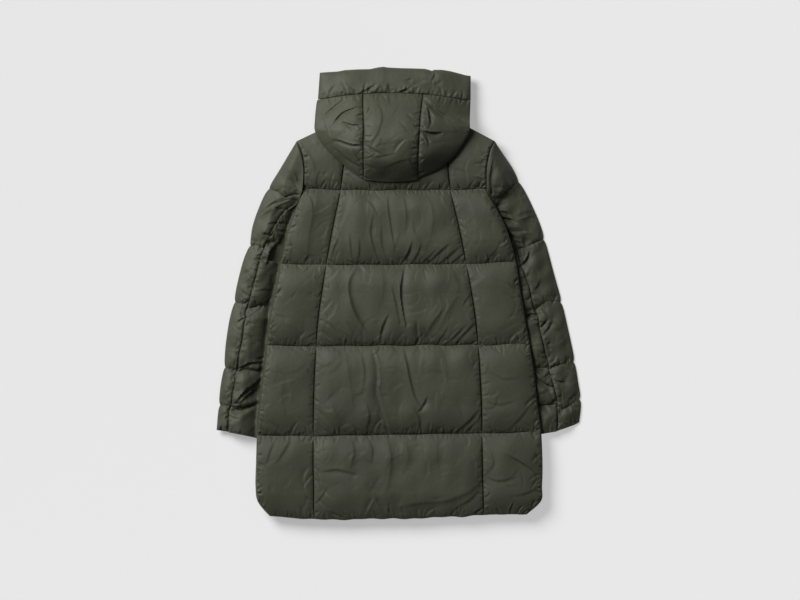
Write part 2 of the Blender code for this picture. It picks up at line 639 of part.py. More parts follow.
def zip_pull(pin_z):
    """Pull tab: an eye round the pin and a flat tab that hangs towards the hem."""
    data = bpy.data.curves.new("zip_pull", "CURVE")
    data.dimensions = "2D"
    data.fill_mode = "BOTH"
    data.extrude = PULL_WIDTH / 2 * MM
    start = math.asin(PULL_THICKNESS / 2 / BARREL_RADIUS)
    turns = [start + (2 * math.pi - 2 * start) * i / 20 for i in range(21)]
    outline = [(BARREL_RADIUS * math.cos(a), BARREL_RADIUS * math.sin(a)) for a in turns]
    outline += [(PULL_LENGTH, -PULL_THICKNESS / 2), (PULL_LENGTH, PULL_THICKNESS / 2)]
    hole_radius = PIN_RADIUS + GAP
    hole = [(hole_radius * math.cos(math.tau * i / 16), hole_radius * math.sin(math.tau * i / 16))
            for i in range(16)]
    for points in (outline, hole):
        spline = data.splines.new("POLY")
        spline.points.add(len(points) - 1)
        spline.use_cyclic_u = True
        for point, (along, out) in zip(spline.points, points):
            point.co = (along * MM, out * MM, 0.0, 1.0)
    shape = bpy.data.objects.new("pull_outline", data)
    coat.objects.link(shape)
    bpy.context.view_layer.update()
    mesh = bpy.data.meshes.new_from_object(shape.evaluated_get(bpy.context.evaluated_depsgraph_get()))
    bpy.data.objects.remove(shape)
    welded = bmesh.new()
    welded.from_mesh(mesh)
    bmesh.ops.remove_doubles(welded, verts=welded.verts, dist=0.00001)
    bmesh.ops.recalc_face_normals(welded, faces=welded.faces)
    welded.to_mesh(mesh)
    welded.free()
    pull = make_object("zip_pull", mesh, METAL_COLOUR, metallic=1.0, roughness=0.35)
    # the outline's own X points to the hem and its own Z lies along the pin; the tab then drops
    # until its tip rests on the surface
    drop = math.asin((pin_z - PULL_THICKNESS / 2 - GAP) / PULL_LENGTH)
    pull.matrix_world = (Matrix.Translation((0.0, SLIDER_Y * MM, pin_z * MM))
                         @ Matrix.Rotation(drop, 4, "X")
                         @ Matrix(((0, 0, 1, 0), (-1, 0, 0, 0), (0, -1, 0, 0), (0, 0, 0, 1))))


# ---------------------------------------------------------------- the coat
for item in list(bpy.data.objects):
    bpy.data.objects.remove(item)

coat = bpy.data.collections.new("long_puffer_coat")
bpy.context.scene.collection.children.link(coat)

SIDE_STEPS = (0.0, 0.16, 0.5, 0.84, 1.0)
CENTRE_STEPS = (0.0, 0.1, 0.3, 0.5, 0.7, 0.9, 1.0)

back_panel("back_side_left", 1, 2, SIDE_STEPS)
back_panel("back_center", 2, 3, CENTRE_STEPS)
back_panel("back_side_right", 3, 4, SIDE_STEPS)
for label, sign, sleeve_table in (("left", -1, SLEEVE_LEFT), ("right", 1, SLEEVE_RIGHT)):
    front_panel(f"front_{label}", sign)
    sleeve_piece(f"sleeve_{label}_upper", sign, sleeve_table, 1.0, 0.0)
    sleeve_piece(f"sleeve_{label}_under", sign, sleeve_table, 1.0, 2.0)
    collar(f"collar_{label}", sign)
hood_piece("hood_side_left", 1, 2, (0.0, 0.12, 0.4, 0.75, 1.0), -1)
hood_piece("hood_center", 2, 3, (0.0, 0.15, 0.5, 0.85, 1.0), 0)
hood_piece("hood_side_right", 3, 4, (0.0, 0.25, 0.6, 0.88, 1.0), 1)
hood_brim()
zip_strip()
zip_pull(zip_slider())
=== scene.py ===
"""Long puffer coat laid flat, face down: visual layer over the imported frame.

All tables and shapes are in millimetres and are turned into metres when a mesh is made.
Places that were read off the photograph are written in its pixels, and px() turns them into
millimetres on the plane that the coat lies on.  Side -1 is the wearer's left, 1 the right.
"""
import functools
import math

import bmesh
import bpy
import numpy as np
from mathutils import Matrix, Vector
from mathutils.bvhtree import BVHTree


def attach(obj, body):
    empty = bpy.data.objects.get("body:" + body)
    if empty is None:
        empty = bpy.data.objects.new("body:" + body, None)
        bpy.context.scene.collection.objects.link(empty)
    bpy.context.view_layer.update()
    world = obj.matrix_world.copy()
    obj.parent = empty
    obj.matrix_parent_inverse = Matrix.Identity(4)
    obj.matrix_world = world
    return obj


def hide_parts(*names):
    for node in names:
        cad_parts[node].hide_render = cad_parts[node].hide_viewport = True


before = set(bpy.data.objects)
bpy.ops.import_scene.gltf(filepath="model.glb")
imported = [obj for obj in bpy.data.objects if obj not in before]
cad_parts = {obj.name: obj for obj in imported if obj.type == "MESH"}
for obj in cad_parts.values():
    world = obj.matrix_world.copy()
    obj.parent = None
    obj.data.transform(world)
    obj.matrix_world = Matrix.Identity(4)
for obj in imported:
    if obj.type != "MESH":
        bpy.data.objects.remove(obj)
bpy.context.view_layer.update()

FINE = 1.0      # grid spacing factor
MM = 0.001
PIXEL = 2.1                            # size of a pixel of the photograph
ORIGIN = (399.3, 293.7)                # the pixel at x 0 and y 0
FAR = 99.0                             # distance that stands for none


def table(text, columns):
    """Numbers in rows of so many columns."""
    return np.array(text.split(), float).reshape(-1, columns)


def rows_of(text):
    """Numbers in rows of any length."""
    return [np.array(line.split(), float) for line in text.strip().splitlines()]


# ------------------------------------------------------------------ tables shared with the CAD
GAP = 0.3
BACK_FLOOR = 26.2
SEAM_LEVEL = 29.2
FRONT_CEILING = 24.9
SEAM_CEILING = 25.9
SIDE_RISE = 62.0
ZIP_ROUND = 22.0
TUCK_CLEARANCE = 2.5
ARMPIT_LIFT = 12.0
HOOD_FLOOR = 44.3
NECK_REACH = 12.0
BRIM_SLIT = 21.0
LAYER_DROP = 1.1
FRONT_EDGE = 4.6
NECK_DIP_BACK = 24.0
HEM_DIP = 3.0
ZIP_ENDS = (-462.0, 456.0)             # hem, chin

# x y of the left side edge, left princess seam, right princess seam and right side edge
BODY = table("""
-216 320 -101 375 93 378 201 320  -206 298 -109 323 97 324 190 298  -200 264 -117 266 102 267 184 264
-203 220 -123 218 108 218 184 220  -208 202 -126 201 111 201 190 205  -233 136 -139 138 126 138 225 138
-249 64 -153 60 141 63 245 67  -260 10 -161 8 151 8 254 10  -272 -49 -169 -49 160 -49 264 -49
-278 -108 -174 -110 166 -107 274 -105  -286 -167 -177 -167 170 -167 283 -164
-294 -230 -179 -230 173 -230 290 -227  -299 -298 -180 -298 174 -293 298 -289
-301 -356 -180 -356 175 -356 301 -356  -302 -404 -179 -410 176 -408 300 -404
-297 -437 -179 -446 177 -440 298 -435  -272 -467 -178 -474 178 -465 268 -463
""", 8).reshape(-1, 4, 2)
BODY_LINES = (0, 3, 6, 9, 12, 16)      # rows of the table that are stitched lines
BACK_PUFF = np.array((11.0, 17.0, 17.5, 17.5, 15.5))
FRONT_NECK_Y = (302, 284, 260)
FRONT_NECK_DIP = (14.0, 8.0, 3.0, 0.0)
ARMPIT = 4
# x y of the outer edge, back seam and inner edge, then the slit's height outside and inside
SLEEVES = {-1: table("""
-216 320 -206 211 -208 202 26 26  -252 260 -214 190 -210 186 24 12  -279 217 -224 181 -214 167 22 8
-298 174 -240 165 -214 134 21 6  -309 140 -259 136 -219 104 21 5  -315 106 -280 96 -226 79 21 5
-329 67 -293 62 -233 48 21 5  -341 20 -306 20 -240 6 21 5  -349 -21 -318 -23 -247 -28 21 5
-358 -59 -325 -62 -253 -68 21 5  -365 -106 -333 -106 -258 -112 21 5  -369 -152 -340 -158 -264 -159 21 5
-376 -194 -348 -196 -268 -200 21 5  -380 -234 -353 -238 -273 -238 21 5
-384 -284 -360 -289 -278 -305 20 5
""", 8), 1: table("""
201 320 187 214 190 205 26 26  235 270 200 191 195 186 21 10  262 221 206 183 197 167 17 6
283 178 218 157 202 136 15 5  298 142 231 125 210 106 14 5  308 109 244 92 218 79 14 5
322 56 261 53 224 46 14 5  333 16 273 14 231 6 14 5  342 -15 286 -34 240 -41 14 5
352 -59 294 -62 247 -68 14 5  362 -104 303 -106 256 -112 14 5  370 -143 315 -153 262 -154 14 5
377 -188 324 -190 268 -194 14 5  383 -227 333 -238 272 -240 14 5  379 -270 340 -287 277 -296 14 5
""", 8)}
SLEEVE_LINES = (0, 2, 5, 8, 11, 13, 14)
# back seams of the sleeves: pixels
SLEEVE_SEAM = {-1: table("""
297 203.8  292 207.5  285.8 211.3  282 217.5  278.3 222.5  275 228.8  272 233.8  269.5 237.5  266.5 241
265 246  262 252.5  258.9 263.8  255.8 276.3  252 290  249.5 300  247.6 306  245.4 312.5  246 317.5
243.9 325  242.6 338.8  238.9 355  237.6 368.8  235.8 373.8  234.5 386  232.6 392.5  231.4 405
229.5 410  228.3 422.5  228.6 432
""", 2), 1: table("""
496 203  499 212  502 219  504.5 224  507 228  510 233  513 238  515.5 244  517 249  519 258  521 266
524 272  527 280  529.5 287  531 295  533 303  535 310  538 315  539 322  539.5 328  541 334  542.5 340
544 346  545 352  547 358  548.6 363  549.2 369  550.4 375  552.6 381  554 387  555.5 393  557 400
557.6 408  558 416  558 424  557 432
""", 2)}
# stitched lines and cuffs: number of the line, 0 outside or 1 inside of the seam, then pixels
SLEEVE_STITCHES = {-1: rows_of("""
1 0 269 188.5 278 192 285 197.4 292 194.6 300 194.4
2 0 250.8 245.6 255 244 262 248 265.8 247.5
2 1 266 238.8 270.8 240.6 279.5 245 284 247
3 0 234.5 301.9 238.9 303 243.9 303.8 247.6 301.5
3 1 247.6 308 253.3 306.9 259.5 304.8 264.5 305 271.4 304.8
4 0 223.9 366.9 229.5 369 235 371.9 237 371.3
4 1 238.9 371.3 243.3 368.8 249.5 369.8 254.5 370.6 262 371.5
5 0 220.8 405.6 224.5 404.8 230.8 406.3
5 1 230.8 410 237 409 244.5 407 254.5 403.8
6 0 216.4 429 220.8 428.8 228.3 431.9
6 1 228.6 432 232 433.5 239.5 436.3 249.5 438.5 256.4 439
"""), 1: rows_of("""
1 0 518.5 182 512 186 508 190 502 194.5 497 197 492 198
2 0 541.5 240 536 242 530 245 524 247.5 516 249.5
3 0 562.5 302 556 300 548 301 541 304.5 536 309 534 311
3 1 524 313 527 315 531 313.5 536 314.4
4 0 574.5 362 568 363.5 560 364.5 553 367 549 369.5
4 1 536 368 542 367.5 548 368
5 0 576.5 400 571 405 565 408.5 560 411 557.5 411.5
5 1 548 405 556 404
6 0 579.5 422.5 575 427 568 429.6 560 430.4
6 1 540 434 548 433 557 431
""")}
ARMHOLE_SEAM_SHARE = 0.93
# x y of the left outline, left seam, right seam and right outline, then the fold's height
HOOD = table("""
-171 408 -76 419 50 418 150 405 24  -175 389 -76 394 47 394 149 388 31
-177 365 -75 367 44 367 148 365 42  -177 342 -74 342 43 342 147 342 50
-165 318 -75 318 41 318 136 318 50  -143 293 -75 295 40 295 119 293 50
-118 271 -75 276 39 276 98 273 50  -95 253 -75 258 39 259 73 257 50  -81 244 -75 243 38 243 45 245 50
""", 9)
HOOD_BOTTOM = ((-75, 240), (38, 239))
HOOD_BOTTOM_DIP = 5.0
# left end, right end and how far the middle lies above them
BRIM_SEAM = ((-171, 408), (150, 405), 15.0)
BRIM_RIM = ((-167, 465), (150, 458), 16.0)
BRIM_TOP = 46.0                        # height of the roll beside the brim's seam
COLLAR_INSET = 9.0


# ------------------------------------------------------------------ curves
def px(points):
    """Pixels of the photograph to millimetres on the ground plane."""
    p = np.asarray(points, float).reshape(-1, 2)
    return np.stack(((p[:, 0] - ORIGIN[0]) * PIXEL, (ORIGIN[1] - p[:, 1]) * PIXEL), -1)


def lerp(a, b, t):
    return a + (b - a) * t


def catmull(values, v):
    """Smooth curve through a table's rows, at the stations v."""
    values = np.asarray(values, float)
    v = np.asarray(v, float)
    last = len(values) - 1
    i = np.clip(v.astype(int), 0, last - 1)
    t = v - i
    if values.ndim > 1:
        t = t[..., None]
    a, b, c, d = (values[np.clip(i + k, 0, last)] for k in (-1, 0, 1, 2))
    return 0.5 * (2 * b + (c - a) * t + (2 * a - 5 * b + 4 * c - d) * t ** 2
                  + (3 * b - a - 3 * c + d) * t ** 3)


def quarter(d, reach):
    """Quarter circle from 0 to 1 over the reach."""
    t = np.clip(np.asarray(d, float) / reach, 0.0, 1.0)
    return np.sqrt(1.0 - (1.0 - t) ** 2)


def rise(d, reach, power=2.0):
    """From 0 to 1 over the reach, easing out."""
    t = np.clip(np.asarray(d, float) / reach, 0.0, 1.0)
    return 1.0 - (1.0 - t) ** power


def ramp(value, start, length):
    """From 0 to 1 in a straight line."""
    return np.clip((value - start) / length, 0.0, 1.0)


def bow(t):
    return 4.0 * t * (1.0 - t)


def arc(x, start, stop, lift=0.0):
    """The y of a shallow curve between two places."""
    u = (x - start[0]) / (stop[0] - start[0])
    return lerp(start[1], stop[1], u) + lift * bow(u)


def arc_line(first, last, count, *curve):
    x = np.linspace(first, last, count)
    return np.stack((x, arc(x, *curve)), -1)


def above_zero(z, softness):
    """z where it is positive, and close to 0 below, without a corner."""
    return 0.5 * (z + np.sqrt(z ** 2 + softness))


def lengths(line):
    """Lengths of a line's pieces, and the distance of each of its points from its start."""
    steps = np.linalg.norm(np.diff(line, axis=0), axis=1)
    return steps, np.concatenate(((0.0,), np.cumsum(steps)))


def spaced(length, edge, middle, ends=(True, True)):
    """Positions from 0 to length: close together beside the ends that need it."""
    edge, middle = edge * FINE, middle * FINE

    def half(fine):
        out, step = [0.0], edge if fine else middle
        while out[-1] < length / 2:
            out.append(out[-1] + step)
            step = min(middle, step * 1.17)
        return np.array(out)
    a, b = half(ends[0]), length - half(ends[1])[::-1]
    a = a[a < length / 2 - 0.3 * middle]
    b = b[b > length / 2 + 0.3 * middle]
    return np.concatenate((a, b))


def waves(seed, count, short, long):
    """A smooth random field: a sum of waves in random directions."""
    rng = np.random.default_rng(seed)
    size = rng.uniform(short, long, count)
    angle = rng.uniform(0, math.pi, count)
    phase = rng.uniform(0, 2 * math.pi, count)
    kx, ky = np.cos(angle) / size * 2 * math.pi, np.sin(angle) / size * 2 * math.pi

    def field(x, y):
        total = np.zeros(np.shape(x))
        for a, b, c in zip(kx, ky, phase):
            total += np.sin(a * x + b * y + c)
        return total / math.sqrt(count / 2)
    return field


LUMPS = waves(3, 14, 45, 110)
RIPPLES = waves(5, 16, 16, 34)
QUILT_WAVE = waves(21, 6, 70, 160)
HEM_WAVE = waves(31, 8, 30, 90)


def crinkle(x, y):
    """Thin soft ridges that meet at angles, as crumpled nylon has."""
    warp = 9.0 * LUMPS(y, x)
    a = np.abs(RIPPLES(x + warp, y * 0.55))
    b = np.abs(RIPPLES(y * 0.7 + 300, x + 0.6 * warp))
    return np.exp(-3.0 * a) + 0.7 * np.exp(-3.0 * b) - 0.45


# ------------------------------------------------------------------ creases
class Relief:
    """Heights that are added to one grid of points."""

    def __init__(self, x, y):
        self.x, self.y = x, y
        self.z = np.zeros(x.shape)

    def fold(self, points, depth, width, side=1, crest=0.3, start=0.0, stop=0.0, power=0.7, sharp=0.7):
        """A fold along a curve: a crest line with a trough beside it that falls steeply and comes
        back slowly.  side 1 puts the trough on the photo's right of a line drawn downwards;
        start and stop say how much of the depth is left at the ends."""
        p = np.asarray(points, float)
        if len(p) > 2:
            p = catmull(p, np.linspace(0, len(p) - 1, 6 * (len(p) - 1) + 1))
        reach = 6.0 * width
        where = np.nonzero((self.x > p[:, 0].min() - reach) & (self.x < p[:, 0].max() + reach)
                           & (self.y > p[:, 1].min() - reach) & (self.y < p[:, 1].max() + reach))
        if not len(where[0]):
            return
        q = np.stack((self.x[where], self.y[where]), -1)
        best = np.full(len(q), 1e9)
        along = np.zeros(len(q))
        sign = np.ones(len(q))
        steps, _ = lengths(p)
        total, done = steps.sum(), 0.0
        for a, b, length in zip(p, p[1:], steps):
            if length < 1e-6:
                continue
            d = (b - a) / length
            r = q - a
            across = r[:, 1] * d[0] - r[:, 0] * d[1]
            c = np.clip(r @ d, 0, length)
            dist = np.hypot(r @ d - c, across)
            near = dist < best
            best[near] = dist[near]
            along[near] = (done + c[near]) / total
            sign[near] = np.where(across[near] < 0, -1.0, 1.0)
            done += length
        fade = np.sin(math.pi * np.clip(along, 0.0, 1.0)) ** power
        fade = np.where(along < 0.5, np.maximum(fade, start), np.maximum(fade, stop))
        s = best * sign * side
        down = np.sqrt(np.maximum(s, 0.0) ** 2 + sharp ** 2) - sharp
        up = np.sqrt(np.maximum(-s, 0.0) ** 2 + sharp ** 2) - sharp
        w = width * (0.55 + 0.45 * fade)
        shape = np.where(s > 0, crest * np.exp(-down / (0.6 * w)) - (down / w) * np.exp(1.0 - down / w),
                         crest * np.exp(-up / (1.3 * w)))
        # beyond the ends the fold dies out instead of wrapping round them
        beyond = np.where((along <= 0.0) | (along >= 1.0), np.exp(-best / (0.8 * width)), 1.0)
        self.z[where] += depth * fade * shape * beyond

    def folds(self, rows, depth, width, **look):
        """The folds of a table, all made so much deeper and wider."""
        for row in rows:
            self.fold(px(row[:-3]), depth * row[-3], width * row[-2], row[-1], **look)

    def puckers(self, line, side, seed, spacing, length, depth, width=(1.6, 2.6), slant=0.35, ends=0.0):
        """Short gathers that run off a stitched line, towards its left (side 1) or right."""
        rng = np.random.default_rng(seed)
        line = np.asarray(line, float)
        steps, run = lengths(line)
        total = steps.sum()

        def place(at):
            return np.array([np.interp(at, run, line[:, k]) for k in (0, 1)])
        at = rng.uniform(2.0, spacing[1])
        while at < total - 2.0:
            p = place(at)
            d = place(min(total, at + 2.0)) - place(max(0.0, at - 2.0))
            d /= max(1e-6, np.linalg.norm(d))
            n = np.array((-d[1], d[0])) * side
            lean = rng.normal(0.0, slant)
            if ends:
                lean += ends * (at / total - 0.5) * 2.0
            reach = rng.uniform(*length) * (1.9 if rng.random() < 0.12 else 1.0)
            mid = p + n * reach * 0.5 + d * lean * reach * 0.35
            tip = p + n * reach + d * (lean + rng.normal(0, 0.12)) * reach
            self.fold((p, mid, tip), rng.uniform(*depth), rng.uniform(*width),
                      side=1 if rng.random() < 0.5 else -1, crest=rng.uniform(0.3, 0.7), start=0.8)
            at += rng.uniform(*spacing)


def small_folds(x, y, seed, per_metre, depth, width, length=(16, 55), tilt=0.9):
    """Seeded light creases that lie between the listed ones."""
    rng = np.random.default_rng(seed)
    relief = Relief(x, y)
    low, high = (x.min(), y.min()), (x.max(), y.max())
    for _ in range(int(per_metre * 1e-6 * (high[0] - low[0]) * (high[1] - low[1]) * 2.2)):
        p = np.array((rng.uniform(low[0], high[0]), rng.uniform(low[1], high[1])))
        angle = math.pi / 2 + rng.normal(0.0, tilt)
        size = rng.uniform(*length)
        d = np.array((math.cos(angle), math.sin(angle)))
        n = np.array((-d[1], d[0])) * rng.normal(0, 0.16) * size
        relief.fold((p - d * size / 2, p + n, p + d * size / 2), rng.uniform(*depth),
                    rng.uniform(*width), 1 if rng.random() < 0.6 else -1, crest=0.4)
    return relief.z


# ------------------------------------------------------------------ meshes
def new_object(name, verts, faces, material, angle=55.0):
    """A mesh object from points in millimetres."""
    data = bpy.data.meshes.new(name)
    data.from_pydata([tuple(c * MM for c in p) for p in verts], [], faces)
    data.update()
    mesh = bmesh.new()
    mesh.from_mesh(data)
    bmesh.ops.recalc_face_normals(mesh, faces=mesh.faces)
    mesh.to_mesh(data)
    mesh.free()
    data.polygons.foreach_set("use_smooth", [True] * len(data.polygons))
    data.set_sharp_from_angle(angle=math.radians(angle))
    data.materials.append(material)
    item = bpy.data.objects.new(name, data)
    bpy.context.scene.collection.objects.link(item)
    return item


def quads(rows, columns):
    i = np.arange(rows * columns).reshape(rows, columns)
    return np.stack((i[:-1, :-1], i[:-1, 1:], i[1:, 1:], i[1:, :-1]), -1).reshape(-1, 4)


def wall(name, outer, inner, keep=(0, -1)):
    """Closed padded wall: a fine outer grid, and an inner grid of which only the first and last
    row and the columns in keep are used."""
    rows, columns = outer.shape[:2]
    keep = sorted(set(k % columns for k in keep))
    verts = outer.reshape(-1, 3).tolist()
    faces = quads(rows, columns).tolist()
    inside = []
    for r in range(rows):
        row = {}
        for c in (range(columns) if r in (0, rows - 1) else keep):
            row[c] = len(verts)
            verts.append(inner[r, c].tolist())
        inside.append(row)
    for r, (up, low) in enumerate(zip(inside, inside[1:])):
        for a, b in zip(keep, keep[1:]):
            faces.append([up[c] for c in up if a <= c <= b]
                         + [low[c] for c in reversed(low) if a <= c <= b])
        for c in (keep[0], keep[-1]):
            faces.append([r * columns + c, (r + 1) * columns + c, low[c], up[c]])
    for r in (0, rows - 1):
        for c in range(columns - 1):
            faces.append([r * columns + c, r * columns + c + 1, inside[r][c + 1], inside[r][c]])
    return new_object(name, verts, faces, SHELL)


def grid(left, right, shares):
    """x and y of a panel: rows from one curve to another."""
    return left[:, None, :] + (right - left)[:, None, :] * shares[None, :, None]


def layers(x, y, *heights):
    """The same plan at several heights, as grids of points."""
    return [np.stack((x, y, np.broadcast_to(z, x.shape)), -1) for z in heights]


# ------------------------------------------------------------------ materials
class Material:
    """Builds a material's nodes: a socket is given by its key, with a value or another's output."""

    def __init__(self, name):
        self.material = bpy.data.materials.new(name)
        self.material.use_nodes = True
        self.nodes, self.links = self.material.node_tree.nodes, self.material.node_tree.links
        self.shader = self.nodes["Principled BSDF"]
        self.where = self.add("TexCoord", "Object")

    def fill(self, node, sockets):
        for key, value in sockets.items():
            if isinstance(value, bpy.types.NodeSocket):
                self.links.new(value, node.inputs[key])
            else:
                node.inputs[key].default_value = value

    def add(self, kind, output, sockets=None, **settings):
        node = self.nodes.new("ShaderNode" + kind)
        for key, value in settings.items():
            setattr(node, key, value)
        self.fill(node, sockets or {})
        return node.outputs[output]

    def math(self, operation, *values):
        return self.add("Math", 0, dict(enumerate(values)), operation=operation)

    def vector(self, operation, output, *values):
        return self.add("VectorMath", output, dict(enumerate(values)), operation=operation)

    def mix(self, factor, a, b, blend="MIX"):
        return self.add("Mix", 2, {0: factor, 6: a, 7: b}, data_type="RGBA", blend_type=blend)

    def bump(self, height, strength, distance, **below):
        return self.add("Bump", "Normal", {"Height": height, "Strength": strength, "Distance": distance,
                                           **below})


def shade(tone, factor):
    return tuple(min(1.0, c * factor) for c in tone) + (1.0,)


def nylon(name, tone, rough=0.58, crumple=1.0, sheen=0.05):
    """Matte downproof nylon: plain weave, faint crumple marks, uneven tone and gloss."""
    m = Material(name)

    def noise(scale, detail, roughness, distort=0.0, stretch=(1, 1, 1)):
        place = m.add("Mapping", "Vector", {"Vector": m.where, "Scale": stretch})
        return m.add("TexNoise", "Fac", {"Vector": place, "Scale": scale, "Detail": detail,
                                         "Roughness": roughness, "Distortion": distort})

    def to_range(value, low, high, new_low=0.0, new_high=1.0):
        return m.add("MapRange", "Result", {"Value": value, "From Min": low, "From Max": high,
                                            "To Min": new_low, "To Max": new_high})

    base = m.mix(to_range(noise(7.0, 3.0, 0.55, 0.6), 0.3, 0.7), shade(tone, 0.90), shade(tone, 1.10))
    speck = m.mix(to_range(noise(620.0, 2.0, 0.6), 0.35, 0.65), (0.90, 0.90, 0.90, 1.0),
                  (1.08, 1.08, 1.08, 1.0))
    # crumple marks: ridged noise, then the weave on top
    ridges = [m.math("ABSOLUTE", m.math("SUBTRACT", noise(scale, 2.0, 0.5, distort, stretch), 0.5))
              for scale, distort, stretch in ((34.0, 0.9, (1.0, 0.6, 1.0)), (85.0, 0.6, (0.7, 1.0, 1.0)))]
    crumples = m.bump(m.math("MULTIPLY_ADD", ridges[1], 0.35, ridges[0]), 0.14 * crumple, 0.006)
    weave = [m.add("TexWave", "Fac", {"Vector": m.where, "Scale": 420.0, "Distortion": 0.6, "Detail": 1.0},
                   bands_direction=axis) for axis in ("X", "Y")]
    m.fill(m.shader, {
        "Base Color": m.mix(1.0, base, speck, "MULTIPLY"),
        "Roughness": to_range(noise(26.0, 4.0, 0.6, 0.4), 0.3, 0.7, rough - 0.03, rough + 0.04),
        "Specular IOR Level": 0.27, "Sheen Weight": sheen, "Sheen Roughness": 0.45,
        "Sheen Tint": (0.86, 0.9, 0.78, 1.0),
        "Normal": m.bump(m.math("ADD", *weave), 0.16, 0.0003, Normal=crumples)})
    return m.material


def metal(name, tone, rough):
    m = Material(name)
    spots = m.add("TexNoise", "Fac", {"Vector": m.where, "Scale": 240.0, "Detail": 4.0})
    m.fill(m.shader, {
        "Base Color": m.mix(spots, shade(tone, 0.75), shade(tone, 1.2)), "Metallic": 1.0,
        "Roughness": m.add("MapRange", "Result", {"Value": spots, "To Min": rough - 0.08,
                                                  "To Max": rough + 0.14}),
        "Normal": m.bump(spots, 0.12, 0.0004)})
    return m.material


SHELL = nylon("shell_nylon", (0.0475, 0.0500, 0.0325))
TAPE = nylon("zip_tape_weave", (0.045, 0.047, 0.033), rough=0.75, crumple=0.2, sheen=0.25)
THREAD = nylon("sewing_thread", (0.050, 0.052, 0.036), rough=0.6, crumple=0.1, sheen=0.2)
BRASS = metal("aged_zip_metal", (0.29, 0.26, 0.19), 0.38)


# ------------------------------------------------------------------ body
def body_edge(side, v):
    return catmull(BODY[:, 0 if side < 0 else 3], v)


def body_seam(side, v):
    return catmull(BODY[:, 1 if side < 0 else 2], v)


def rows_between(lines, fine_v, run, edge, middle):
    """Stations of the rows, with the number of the quilted row and the distance to its lines."""
    out = []
    for number, (a, b) in enumerate(zip(lines, lines[1:])):
        part = (fine_v >= a - 1e-9) & (fine_v <= b + 1e-9)
        r = run[part] - run[part][0]
        for d in spaced(r[-1], edge, middle)[:-1]:
            out.append((np.interp(d, r, fine_v[part]), number, d, r[-1] - d))
    out.append((float(lines[-1]), number, r[-1], 0.0))
    return [np.array(c) for c in zip(*out)]


def body_rows(edge, middle):
    fine_v = np.linspace(0, 16, 3201)
    return rows_between(BODY_LINES, fine_v, -catmull(BODY[:, 1, 1], fine_v), edge, middle)


